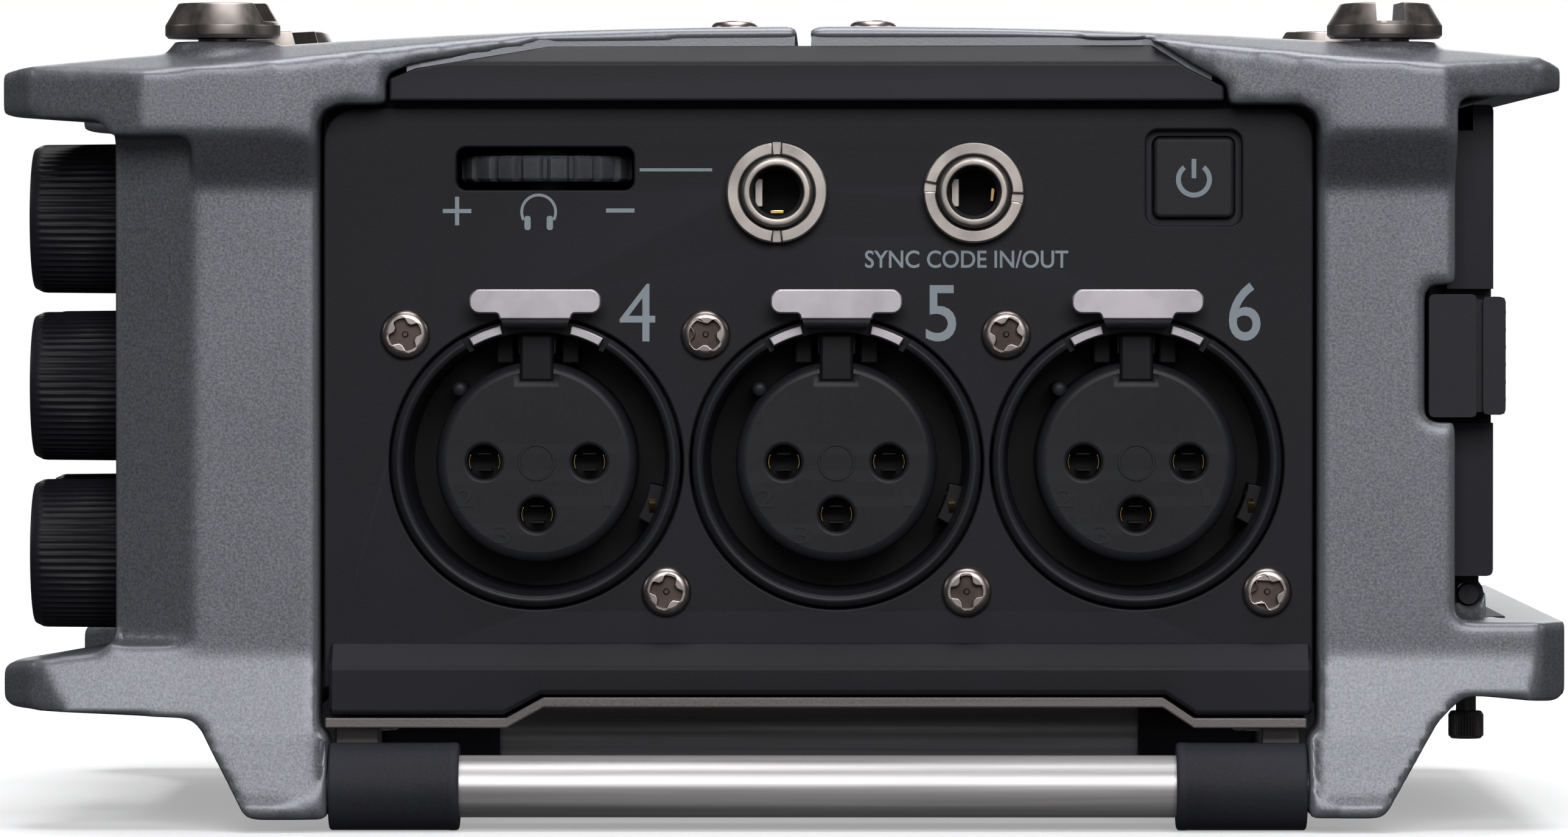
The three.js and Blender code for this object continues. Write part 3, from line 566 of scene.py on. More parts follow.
# ---------------------------------------------------------------- small hardware
def screw_head(shape, at, radius=1.85, height=0.95, turn=0.0, foot=1):
    """A pan head with a cross recess; foot is the material number of the recess's floor, which at the inputs
    and underneath is the darkened recess material: painted shade.
    """
    k = radius / 1.85
    arm, reach, hub = 0.36 * k, 1.28 * k, 0.66 * k
    quarter_outline = (
        (hub, -arm - 0.07),
        (reach - 0.1, -arm),
        (reach, -arm + 0.14),
        (reach, arm - 0.14),
        (reach - 0.1, arm),
        (hub, arm + 0.07),
    )
    cross = []
    for quarter in range(4):
        t = turn + quarter * math.pi / 2
        c, s = math.cos(t), math.sin(t)
        cross += [Vector((along * c - side * s, along * s + side * c)) for along, side in quarter_outline]
    head = circle(0, 0, radius, 56)
    shape.plate(head, -0.25, height * 0.88, [cross], bevel=0.62 * k, steps=7, hole_bevel=0.1, at=at)
    # The recess's floor and hub take material foot; where that is the darkened recess material, it is painted
    # shade.
    shape.plate(circle(0, 0, reach + 0.12, 32), -0.3, height * 0.2, bevel=0, mat=foot, at=at)
    shape.lathe([(0, 0), (0.3 * k, 0), (0.16 * k, height * 0.5), (0, height * 0.5)], 12, mat=foot, at=at)
    return shape


def smooth_step(edge0, edge1, x):
    t = min(1, max(0, (x - edge0) / (edge1 - edge0)))
    return t * t * (3 - 2 * t)


def slotted_screw(node, name, turn):
    """The large coned corner screws."""
    c = centre(node)
    top, base = 63.9, 61.15
    shape = Shape()
    flange = [(4.2, base, 0.1), (4.45, base + 0.25, 0.15), (4.45, base + 1.0, 0.18)]
    shape.lathe([(0, 56), (1.9, 56), (1.9, base), *flange, (3.42, top, 0.3), (0, top)], 96)
    obj = shape.piece(name, DARK_NICKEL, slot="screw", stands_for=node, sharp=40)
    cutter = Shape().plate(rect(-7, 7, -1.08, 1.08), 62.45, 66, bevel=0)
    cut_obj = cutter_object(cutter, Matrix.Rotation(turn, 4, "Z"))
    mod = obj.modifiers.new("slot", "BOOLEAN")
    mod.operation, mod.solver, mod.object = "DIFFERENCE", "EXACT", cut_obj
    obj.modifiers.move(len(obj.modifiers) - 1, 0)
    fresh = applied(obj)
    bpy.data.objects.remove(cut_obj)
    fresh.data.transform(Matrix.Translation((c.x * MM, c.y * MM, 0)))
    fresh.data.set_sharp_from_angle(angle=math.radians(30))
    add_bevel(fresh, 0.1, 2, 35)
    even_shading(fresh)
    return fresh


def cutter_object(shape, at=None):
    me = bpy.data.meshes.new("cutter")
    me.from_pydata([(at @ v if at else v) * MM for v in shape.verts], [], shape.faces)
    obj = bpy.data.objects.new("cutter", me)
    scene.collection.objects.link(obj)
    return obj


# ---------------------------------------------------------------- frames
PLATE_EDGE_X = 46.18
LUG_FILLET_Y, LUG_FILLET_TOP, LUG_HALF_WIDTH = 54.5, 17.1, 41.5
OPEN_DOOR_CLEARANCE_Z = 16.2


def frames():
    rounded_copy("front_frame", "front_casting", CAST, "recorder")
    rear = rounded_copy("rear_frame", "rear_casting", CAST, "recorder")
    # The fillets behind the hinge lugs stay low enough for the opened door.
    low, high = OPEN_DOOR_CLEARANCE_Z * MM, LUG_FILLET_TOP * MM
    for v in rear.data.vertices:
        if v.co.y > LUG_FILLET_Y * MM and low < v.co.z < high and abs(v.co.x) < LUG_HALF_WIDTH * MM:
            v.co.z = low
    # The plates' edges reach down to the cover.
    edges = Shape()
    for face, sign in (("right", 1), ("left", -1)):
        for y0, y1 in ((-17.5, 0.9), (2.15, 27.8)):
            strip = rect(*sorted((sign * y0, sign * y1)), 60.42, 61.3)
            edges.plate(strip, -4, 0, bevel=0.05, at=on(face, sign * PLATE_EDGE_X))
        # Where the edges slope down and flare out to the posts.
        for stations in (
            ((-29.0, 47.3, 58.25, 59.0), (-24.2, 47.15, 59.2, 60.2), (-17.4, PLATE_EDGE_X, 60.42, 61.2)),
            ((27.7, PLATE_EDGE_X, 60.42, 61.2), (30.1, 46.5, 59.35, 60.5), (33.0, 47.0, 57.7, 58.9)),
        ):
            rings = [[(40, y, z0), (w, y, z0), (w, y, z1), (40, y, z1)] for y, w, z0, z1 in stations]
            edges.loft([ring[::-1] for ring in rings], at=Matrix.Scale(sign, 4, (1, 0, 0)))
    edges.piece("top_plate_edges", CAST, slot="cast")
    for node, turn in (
        ("corner_screw_front_right", 1.15),
        ("corner_screw_front_left", 0.5),
        ("corner_screw_rear_right", 0.06),
        ("corner_screw_rear_left", 1.9),
    ):
        slotted_screw(node, node.replace("corner_screw", "cap_screw"), turn)
    small = Shape()
    arch = lambda y: 62.1 - (y - 4) ** 2 / 1240
    for i, (x, y) in enumerate([(-30, -3.9), (30, -3.9), (-30, 7.0), (30, 7.0)]):
        screw_head(small, on("top", x, y, arch(y) - 0.03), turn=0.4 + i, foot=0)
    small.piece("top_plate_screws", SCREW, slot="nickel")


# ---------------------------------------------------------------- side panels
INPUT_Y = [centre(f"input_{i}_housing").y for i in (4, 5, 6)]
INPUT_Z = 28.4
FACE_X = 45.3


MIRROR = Matrix.Scale(-1, 4, (1, 0, 0))


def skirt(shape):
    """The step along the foot of a side panel, cut up in the middle; drawn on the right side."""
    low, high = 8.95, 10.5
    rings = []
    front_end = ((-35.05, low, 0.25), (-34.8, low, 0), (-21.6, low, 0))
    rear_end = ((31.9, low, 0), (40.5, low, 0), (40.75, low, 0.25))
    for y, z, d in (*front_end, (-18.7, high, 0), (29.5, high, 0), *rear_end):
        foot = [(43, z + d), (46.9 - d, z + d, 0.45)]
        profile = foot + [(46.9 - d, 12.6, 0.7), (45.4 - d, 14.45 - d, 0.4), (43, 14.7 - d)]
        rings.append([(x, y, v) for x, v in round_open(profile, 4)])
    return shape.loft([ring[::-1] for ring in rings])


def side_plate(shape, holes, deep_holes, at):
    """Panel in two layers, so that wells can have a floor."""

    def edge(d):
        front, rear, top = -35.5 + d, 40.9 - d, 55.8 - d
        return rounded([(front, 11), (rear, 11), (rear, top, 2.6), (front, top, 2.6)], 10)

    shape.plate(edge(0), -1.05, 0, holes, 0.16, steps=3, at=at)
    shape.plate(edge(0.2), -2.3, -1.05, deep_holes, 0, at=at)


def right_panel():
    shape = Shape()
    at = on("right", FACE_X)
    rings = [circle(y, INPUT_Z, 11.36, 96) for y in INPUT_Y]
    jacks = [circle(centre(n).y, 49.25, 3.3, 40) for n in ("phones_jack", "sync_jack")]
    slot = [rect(-25.25, -11.55, 49.45, 52.75, 0.75)]
    wide = [rect(28.0, 35.4, 46.7, 54.1, 0.95)]
    narrow = [rect(28.45, 34.95, 47.15, 53.65, 0.7)]
    side_plate(shape, rings + jacks + slot + wide, rings + jacks + slot + narrow, at)
    skirt(shape)
    shape.piece("right_side_panel", PANEL, stands_for="right_panel", sharp=30)


def left_panel():
    shape = Shape()
    at = on("left", -FACE_X) @ MIRROR
    rings = [circle(y, INPUT_Z, 11.36, 96) for y in INPUT_Y]
    jack = [circle(-6, 49.25, 3.3, 40)]
    flap = [rect(7.1, 32.9, 45.6, 54.4, 1.1)]
    ports = [rect(9.3, 18.5, 48.3, 51.7, 1.5), rect(19.4, 30.9, 49.1, 50.9, 0.2)]
    side_plate(shape, rings + jack + flap, rings + jack + ports, at)
    mirrored = Shape()
    skirt(mirrored)
    shape.shell(mirrored.verts, mirrored.faces, 0, MIRROR)
    shape.piece("left_side_panel", PANEL, stands_for="left_panel", sharp=30)


def light_seals():
    """Foam frames behind the side panels close the joints round them."""
    for side, x in (("right", 42.8), ("left", -42.8)):
        sign = 1 if side == "right" else -1
        at = on(side, x) if sign > 0 else on(side, x) @ MIRROR
        opening = rect(-32.6, 37.8, 14.2, 53.6, 1)
        foam = Shape().plate(rect(-35.6, 41.0, 10.8, 58.6, 0.3), -0.35, 0, [opening], bevel=0.05, at=at)
        foam.piece(f"{side}_light_seal", RUBBER, slot="rubber")


def arc_band(u, v, r0, r1, a0, a1, n=28):
    return [p + Vector((u, v)) for p in sector(r0, r1, a0, a1, n)]


def headphone_icon(shape, u, v, at):
    shape.plate(arc_band(u, v, 1.2, 1.42, -118, 118, 40), -0.01, 0.03, bevel=0, at=at)
    for s in (-1, 1):
        pad = rect(u + s * 0.86 - 0.24, u + s * 0.86 + 0.24, v - 1.4, v - 0.3, 0.2)
        shape.plate(pad, -0.01, 0.035, bevel=0, at=at)


def power_icon(shape, u, v, r, at, w=0.0):
    shape.plate(arc_band(u, v, r - 0.19, r + 0.19, 38, 322, 40), w - 0.01, w + 0.03, bevel=0, at=at)
    shape.plate(rect(u - 0.18, u + 0.18, v + 0.1, v + r + 0.4, 0.05), w - 0.01, w + 0.03, bevel=0, at=at)


def right_print():
    shape = Shape()
    at = on("right", FACE_X)
    for digit, u0, u1, v0, v1, weight in (
        ("4", -12.65, -9.9, 37.75, 42.2, -0.004),
        ("5", 11.0, 13.35, 37.75, 42.1, 0.006),
        ("6", 34.4, 36.85, 37.8, 42.3, 0.006),
    ):
        shape.letters(digit, u0, u1, v0, v1, weight=weight, at=at)
    shape.letters("SYNC CODE IN/OUT", 6.3, 22.0, 43.42, 44.78, weight=0.012, at=at)
    # The line to the phones jack, the plus in two strokes, and the minus.
    for u0, u1, v0, v1, proud in (
        (-11.1, -5.5, 50.88, 51.12, 0.03),
        (-26.3, -24.1, 47.66, 47.98, 0.03),
        (-25.36, -25.04, 46.72, 48.92, 0.032),
        (-13.7, -11.5, 47.7, 48.02, 0.03),
    ):
        shape.plate(rect(u0, u1, v0, v1), -0.01, proud, bevel=0, at=at)
    headphone_icon(shape, -18.9, 47.75, at)
    shape.piece("right_side_print", PRINT)


def left_print():
    shape = Shape()
    at = on("left", -FACE_X)
    for digit, y in zip("123", INPUT_Y):
        u = -y
        shape.letters(digit, u + 7.0, u + (7.6 if digit == "1" else 9.3), 37.8, 42.2, weight=0.012, at=at)
    shape.letters("OUT", 3.2, 8.4, 43.5, 44.8, weight=0.008, at=at)
    shape.piece("left_side_print", PRINT)


# ---------------------------------------------------------------- microphone inputs
PIN_OFFSET, PIN_HOLE_R = 4.065, 1.32
INSERT_R, INSERT_FACE = 7.78, -0.9
NOTCH_HALF, NOTCH_FLOOR = 1.0, 6.6
RING_GAP = 31.2
RING_BACK, GROOVE_FLOOR = -17.4, -9.5


def input_connector(number):
    node = f"input_{number}_housing"
    c = centre(node)
    side = "right" if number > 3 else "left"
    x = FACE_X if number > 3 else -FACE_X
    at = on(side, x, c.y, INPUT_Z)
    body = Shape()
    # The ring is open at the top, where the lever's plate shows.
    lip = [(9.95, -1.6, 0.6), (10.3, 0.55, 0.35), (10.75, 0.66, 0.3), (11.15, 0.3, 0.35)]
    rim = round_open([(9.75, -11.5), *lip, (11.15, RING_BACK)], 5)
    body.loft(swept(rim + [(9.75, RING_BACK)], RING_GAP, 360 - RING_GAP, 100), at=at)
    low_rim = round_open([(10.05, -11.5), (10.05, -0.75, 0.1), (11.15, -0.75, 0.1), (11.15, RING_BACK)], 2)
    body.loft(swept(low_rim + [(10.05, RING_BACK)], -RING_GAP - 0.5, RING_GAP + 0.5, 20), at=at)
    # The floor of the groove round the insert, and a dark flange behind the panel's hole, both in the darker
    # cavity material: painted shade.
    body.plate(circle(0, 0, 10.4, 72), -17.3, GROOVE_FLOOR, bevel=0, mat=1, at=at)
    body.plate(circle(0, 0, 12.3, 72), -2.75, -2.45, [circle(0, 0, 11.0, 72)], bevel=0.02, mat=1, at=at)
    # Dark blocks at the ends of the ring's opening, in the darker cavity material: painted shade.
    for s in (-1, 1):
        shade = [Vector((s * p.x, p.y)) for p in sector(9.9, 11.1, 28.7, 31.3, 4)]
        body.plate(shade, -12, -0.5, bevel=0.05, mat=1, at=at)
    # The insert, with its pin holes and the notch for the hook.
    pins = [(-PIN_OFFSET, 0), (PIN_OFFSET, 0), (0, -PIN_OFFSET)]
    holes = [circle(u, v, PIN_HOLE_R, 36) for u, v in pins]
    a0 = math.degrees(math.asin(NOTCH_HALF / INSERT_R))
    face = [polar(INSERT_R, a) for a in span(a0, 360 - a0, 110)]
    face += [Vector((-NOTCH_HALF, NOTCH_FLOOR)), Vector((NOTCH_HALF, NOTCH_FLOOR))]
    body.plate(face[::-1], -12, INSERT_FACE, holes, bevel=0.8, steps=6, hole_bevel=0.3, at=at)
    # Mark in the middle, moulded numbers and the key.
    body.plate(circle(0, 0, 1.46, 40), -0.95, -0.81, [circle(0, 0, 1.24, 40)], bevel=0.04, at=at)
    for digit, u, v in (("2", -5.5, -2.75), ("1", 5.45, -2.7), ("3", -2.65, -5.6)):
        wide = 0.35 if digit == "1" else 0.62
        body.letters(digit, u - wide, u + wide, v - 0.7, v + 0.7, -0.95, -0.82, at=at)
    # The key block and the two boxes beside it are in the darker cavity material: painted shade over the
    # notch and the top of the ring's recess.
    body.plate(rect(-1.3, 1.3, 6.2, 9.9, 0.2), -9, -0.98, bevel=0.25, steps=3, mat=1, at=at)
    for s in (-1, 1):
        body.plate(rect(s * 2.55 - 0.7, s * 2.55 + 0.7, 7.6, 9.9, 0.15), -9, -4.8, bevel=0.15, mat=1, at=at)
    body.plate(rect(-0.85, 0.85, 6.4, 7.3, 0.12), -4, -1.9, bevel=0.1, at=at)
    nub = at @ Matrix.Translation((-5.95, 5.65, 0))
    body.lathe([(0, -9), (0.58, -9), (0.58, -1.0, 0.35), (0, -0.95)], 24, at=nub)
    # A slot in the ring's wall for the earth spring, drawn as a dark band in the cavity material: painted
    # shade.
    body.plate(arc_band(0, 0, 8.9, 10.0, 101, 119, 8), -8, -2.6, bevel=0.1, mat=1, at=at)
    body.piece(f"input_{number}_body", [HOUSING, CAVITY_SHADE], slot="housing", stands_for=node, sharp=38)

    metal = Shape()
    # Dark plugs deep in the pin holes and dark slits between the contact blades, in the darker cavity
    # material: painted shade.
    for u, v in pins:
        spot = at @ Matrix.Translation((u, v, 0))
        metal.lathe([(0, -10), (1.36, -10), (1.36, -5.2), (0, -5.2)], 24, mat=1, at=spot)
        for s in (-1, 1):
            blade = [Vector((s * p.y, p.x)) for p in sector(1.14, 1.24, -27, 27, 8)]
            metal.plate(blade, -9, -2.1, bevel=0.04, mat=0, at=spot)
            leaf = rect(-0.55, 0.55, s * 0.62 - 0.06, s * 0.62 + 0.06)
            metal.plate(leaf, -9, -2.6, bevel=0.02, mat=1, at=spot)
    leaf = [(8.55, -5.0, -4.6), (8.75, -4.5, -3.4), (8.95, -3.9, -2.5), (8.95, -3.2, -2.2), (8.7, -2.4, -3.0)]
    rings = [
        [(u + 0.24, v, w), (u + 0.24, v + 0.1, w - 0.1), (u - 0.24, v + 0.1, w - 0.1), (u - 0.24, v, w)]
        for u, v, w in leaf
    ]
    metal.loft(rings, mat=2, at=at)
    metal.piece(f"input_{number}_contacts", [GOLD, CAVITY_SHADE, BRASS], slot="nickel")

    # Screw heads whose recess floors are in the darkened recess material: painted shade.
    fixings = Shape()
    for k, (u, v) in enumerate(((-10.1, 9.9), (10.06, -9.97))):
        fixings_turn = 0.55 + 0.35 * number + 0.9 * k
        screw_head(fixings, at @ Matrix.Translation((u, v, -0.02)), radius=1.93, turn=fixings_turn)
    fixings.piece(f"input_{number}_screws", [SCREW, RECESS_SHADE], slot="nickel")
    release_lever(number, at)


def release_lever(number, at):
    """Stamped lever: a thumb bar, a neck that bends back into the ring, and the curved plate."""
    shape = Shape()
    neck = [(-2.9, 11.5, 0.25), (-2.75, 11.05), (2.75, 11.05), (2.9, 11.5, 0.25)]
    bar = rounded([(-5.1, 11.5, 0.8), *neck, (5.1, 11.5, 0.8), (5.1, 13.4, 0.85), (-5.1, 13.4, 0.85)], 7)
    shape.plate(bar, 1.98, 2.8, bevel=0.14, back_bevel=0.1, steps=3, at=at)
    bend = [(11.35, 2.75), (10.95, 2.55), (10.62, 2.1), (10.42, 1.4), (10.4, 0.4), (10.4, -3)]
    rings = []
    for i, (v, w) in enumerate(bend):
        half = 2.72 - 0.12 * min(i, 3)
        a, b = bend[max(i - 1, 0)], bend[min(i + 1, len(bend) - 1)]
        t = Vector((b[0] - a[0], b[1] - a[1])).normalized()
        nv, nw = -t.y * 0.55, t.x * 0.55
        rings.append([(-half, v, w), (half, v, w), (half, v + nv, w + nw), (-half, v + nv, w + nw)])
    shape.loft([r[::-1] for r in rings], at=at)
    for s in (-1, 1):
        arc = [Vector((s * p.x, p.y)) for p in sector(10.2, 10.92, 14.6, 28.4, 12)]
        shape.plate(arc, -12, 0.5, bevel=0.1, at=at)
    # A dark band behind the lever in the ring's opening and a dark block under its neck, in the darker cavity
    # material: painted shade.
    shape.plate(sector(10.3, 10.9, -28.2, 28.2, 24), -11.8, -0.9, bevel=0.08, mat=1, at=at)
    shape.plate(rect(-1.5, 1.5, 8.3, 10.45, 0.2), -10.8, -2.2, bevel=0.12, mat=1, at=at)
    node = f"input_{number}_latch"
    shape.piece(f"input_{number}_lever", [NICKEL, CAVITY_SHADE], node, "nickel", node, sharp=40)


# ---------------------------------------------------------------- jacks, wheel and button
def jack(node, name, face, x, turn, stands_for=True):
    """Socket with a slotted ring nut; without a CAD node it's the output on the left side."""
    y = centre(node).y if stands_for else -6
    at = on(face, x, y, 49.25) @ Matrix.Rotation(turn, 4, "Z")
    shape = Shape()
    shape.plate(circle(0, 0, 3.92, 64), -0.1, 0.86, [circle(0, 0, 2.86, 48)], bevel=0.1, at=at)
    for a0 in (5, 185):
        shape.plate(sector(2.88, 3.92, a0, a0 + 170, 40), 0.5, 1.25, bevel=0.16, steps=3, at=at)
    shape.lathe([(2.0, -8), (2.74, -8), (2.74, 1.9, 0.28), (2.1, 1.9, 0.12), (2.0, 1.7)], 64, at=at)
    # A dark ring in the gap between sleeve and nut, the dark bore, and further down a dark plate behind, in
    # the darker cavity material: painted shade.
    shape.lathe([(2.66, 0.95), (2.9, 0.95), (2.9, 1.02), (2.66, 1.02)], 48, mat=1, at=at)
    shape.lathe([(0, -8), (2.05, -8), (2.05, -0.6), (1.8, -0.6), (1.8, -7.4), (0, -7.4)], 40, mat=1, at=at)
    shape.plate(rect(-1.72, -1.1, -1.1, 1.1, 0.1), -6, -1.6, bevel=0.06, at=on(face, x, y, 49.25))
    shape.plate(rect(-0.5, 0.5, -1.62, -1.35), -5, -1.4, bevel=0.05, mat=2, at=at)
    shape.plate(rect(-4.2, 4.2, -3.4, 3.4, 0.3), -13, -7.9, bevel=0.2, mat=1, at=on(face, x, y, 49.25))
    shape.piece(name, [NUT, CAVITY_SHADE, GOLD], slot="nickel", stands_for=node if stands_for else ())


def volume_wheel():
    lobes = 20

    def lobe(t, r, w):
        if r < 5:
            return r
        phase = (t * lobes / TAU) % 1
        dip = smooth_step(0.2, 0.06, min(phase, 1 - phase))
        return r - 0.42 * dip

    c = centre("volume_wheel")
    shape = Shape()
    rim = [(6.5, -1, 0.1), (6.8, -0.75, 0.2), (6.8, 0.75, 0.2), (6.5, 1, 0.1)]
    hub = [(3, 1), (3, 0.7), (1.6, 0.7), (1.5, 1.5, 0.15), (0, 1.6)]
    shape.lathe(
        [(0, -2.4), (1.5, -2.4), (1.5, -1), *rim, *hub],
        lobes * 14,
        at=on("top", c.x, c.y, 51.1),
        wobble=lobe,
    )
    shape.piece("volume_thumbwheel", KEY, "volume_wheel", "rubber", "volume_wheel", sharp=40)


def power_button():
    at = on("right", FACE_X, 31.7, 50.4)
    shape = Shape()
    shape.plate(rect(-3.08, 3.08, -3.08, 3.08, 0.5, 8), -2.6, -0.15, bevel=0.26, steps=4, at=at)
    shape.plate(rect(-3.5, 3.5, -3.5, 3.5, 0.4), -3.4, -2.5, bevel=0.1, at=at)
    shape.plate(rect(-0.9, 0.9, -0.9, 0.9, 0.4), -3.9, -3.3, bevel=0.1, at=at)
    shape.piece("power_key", COVER, "power_button", "plastic", "power_button")
    icon = Shape()
    power_icon(icon, 0, -0.15, 1.2, at, w=-0.14)
    icon.piece("power_print", PRINT, "power_button")


# ---------------------------------------------------------------- rods
def rods():
    for side, x in (("right", 46), ("left", -46)):
        lo, hi = box_mm(f"{side}_rod")
        at = on("rear", x, 0, 3.4)
        shape = Shape()
        middle = [(1.6, -34.8), (2.4, -34.8), (2.4, 40.1), (1.6, 40.1)]
        shape.lathe([(0, lo.y), (1.6, lo.y, 0.2), *middle, (1.6, hi.y, 0.2), (0, hi.y)], 64, at=at)
        shape.piece(f"{side}_carry_rod", ROD, slot="steel", stands_for=f"{side}_rod", sharp=40)
        for end in ("front", "rear"):
            node = f"{side}_rod_{end}_cap"
            lo, hi = box_mm(node)
            a, b = (lo.y, hi.y)
            inner, outer = (b, a - 0.25) if end == "front" else (a, b + 0.25)
            lip = 0.5 if inner > outer else -0.5
            profile = [(2.46, outer), (3.38, outer, 0.25), (3.38, inner - lip * 1.6, 0.2)]
            profile += [(3.4, inner - lip * 1.4), (3.4, inner, 0.3), (2.5, inner, 0.12), (2.46, inner - lip)]
            if inner < outer:
                profile = profile[::-1]
            cap = Shape().lathe(profile, 64, at=at)
            cap.piece(f"{side}_{end}_rubber_cap", RUBBER, slot="rubber", stands_for=node, sharp=40)


# ---------------------------------------------------------------- front controls
PANEL_Y = -50.0
CONTROL_KEYS = ["menu", "previous", "next", "stop", "play", "record"]
ALL_KEYS = CONTROL_KEYS + [f"track_{i}" for i in range(1, 7)]


def key_box(node):
    lo, hi = box_mm(node)
    return lo.x + 0.5, hi.x - 0.5, lo.z + 0.5, hi.z - 0.5


def front_panel():
    shape = Shape()
    at = on("front", 0, PANEL_Y, 0)
    holes = [rect(-38, -3, 27.4, 52.4, 0.8)]
    for kind in ALL_KEYS:
        u0, u1, v0, v1 = key_box(f"{kind}_key")
        holes.append(rect(u0 - 0.22, u1 + 0.22, v0 - 0.22, v1 + 0.22, 0.85))
    for i in range(1, 7):
        c = centre(f"level_knob_{i}")
        holes.append(circle(c.x, c.z, 3.6, 48))
    shape.plate(rect(-40.3, 40.3, 15.3, 53.7, 0.9), -1.6, 0, holes, bevel=0.16, at=at)
    # A raised bead frames the screen, and a step parts the level controls from it.
    window = rect(-38, -3, 27.4, 52.4, 0.8, 8)
    shape.plate(rect(-38.7, -2.3, 26.7, 53.1, 1.3, 8), -0.3, 0.32, [window], bevel=0.14, at=at)
    shape.plate(rect(-0.9, -0.6, 16.6, 52.6), -0.2, 0.06, bevel=0.03, at=at)
    shape.piece("front_face", PANEL, stands_for="front_panel", sharp=30)
    marks = Shape()
    for i in range(1, 7):
        c = centre(f"level_knob_{i}")
        for k in range(11):
            a = math.radians(-150 + 30 * k)
            long = 0.75 if k in (0, 5, 10) else 0.42
            spot = at @ Matrix.Translation((c.x, c.z, 0)) @ Matrix.Rotation(-a, 4, "Z")
            if 15.9 < c.z + 6.9 * math.cos(a) < 53.3:
                marks.plate(rect(-0.08, 0.08, 6.15, 6.15 + long), -0.01, 0.03, bevel=0, at=spot)
    marks.piece("front_print", PRINT)


def screen():
    dress("display_window", SCREEN, 0.15)
    at = on("front", 0, -48.75, 0)
    shape = Shape()
    shape.plate(rect(-37.2, -3.8, 28.2, 51.6, 0.5), -3, -0.2, bevel=0.1, at=at)
    shape.piece("display_module", SCREEN, slot="screen")


def key_icon(shape, kind, at, w):
    def tri(u, s=1):
        points = ((u - 0.75 * s, -0.85), (u + 0.75 * s, 0), (u - 0.75 * s, 0.85))
        return [Vector(p) for p in points][::s]

    flat = dict(w0=w - 0.01, w1=w + 0.03, bevel=0, at=at)
    if kind == "menu":
        for v in (-0.6, 0, 0.6):
            shape.plate(rect(-1.1, 1.1, v - 0.13, v + 0.13), **flat)
    elif kind in ("previous", "next"):
        s = 1 if kind == "next" else -1
        shape.plate(tri(-0.65 * s, s), **flat)
        shape.plate(tri(0.75 * s, s), **flat)
    elif kind == "stop":
        shape.plate(rect(-0.8, 0.8, -0.8, 0.8), **flat)
    elif kind == "play":
        shape.plate([p * 1.15 for p in tri(0)], **flat)
    else:
        shape.plate(circle(0, 0, 0.9, 32), **flat)


def front_keys():
    for kind in ALL_KEYS:
        node = f"{kind}_key"
        u0, u1, v0, v1 = key_box(node)
        u, v = (u0 + u1) / 2, (v0 + v1) / 2
        at = on("front", u, PANEL_Y, v)
        shape = Shape()
        a, b = (u1 - u0) / 2, (v1 - v0) / 2
        shape.plate(rect(-a, a, -b, b, 0.75, 6), -2.2, 0.9, bevel=0.35, steps=4, at=at)
        shape.plate(rect(-a - 0.5, a + 0.5, -b - 0.5, b + 0.5, 0.3), -2.6, -1.9, bevel=0.08, at=at)
        shape.plate(rect(-1, 1, -1, 1, 0.2), -3.7, -2.5, bevel=0.1, at=at)
        material, slot = (RED_KEY, "red_key") if kind == "record" else (KEY, "rubber")
        shape.piece(f"{kind}_button", material, node, slot, node)
        mark = Shape()
        if kind.startswith("track"):
            digit = kind[-1]
            wide = 0.24 if digit == "1" else 0.85
            mark.letters(digit, -wide, wide, -1.15, 1.15, 0.88, 0.93, 0.01, at=at)
        else:
            key_icon(mark, kind, at, 0.9)
        mark.piece(f"{kind}_print", PRINT, node)


def level_knobs():
    ribs = 64

    def grip(t, r, w):
        if r < 5.6 or w < 0.9 or w > 7.68:
            return r
        phase = (t * ribs / TAU) % 1
        depth = 0.13 * smooth_step(0.9, 1.2, w) * smooth_step(7.7, 7.3, w)
        return r - depth * (0.5 - 0.5 * math.cos(TAU * phase)) ** 0.6

    skirting = [(5.5, 0, 0.15), (5.65, 0.75, 0.1), (5.88, 0.9), (5.88, 1.2)]
    side = [(5.85, 4.0), (5.82, 7.4), (5.78, 7.7)]
    top = [(5.46, 8.35, 0.25), (4.7, 8.4, 0.3), (4.4, 8.22, 0.3), (0, 8.15)]
    for i in range(1, 7):
        node = f"level_knob_{i}"
        c = centre(node)
        at = on("front", c.x, -50.6, c.z)
        shape = Shape()
        shape.lathe(
            [(2.95, 6.2), (2.95, 0), *skirting, *side, *top],
            ribs * 6,
            at=at,
            wobble=grip,
            steps=3,
        )
        shape.lathe([(0, 6.1), (2.97, 6.1), (2.97, 6.3), (0, 6.3)], 32, at=at)
        shape.piece(f"level_{i}_grip", KNOB, node, "rubber", node, sharp=50)
        mark = Shape().plate(rect(-0.22, 0.22, 1.6, 4.9, 0.1), 8.05, 8.26, bevel=0.03, at=at)
        mark.piece(f"level_{i}_pointer", PRINT, node)


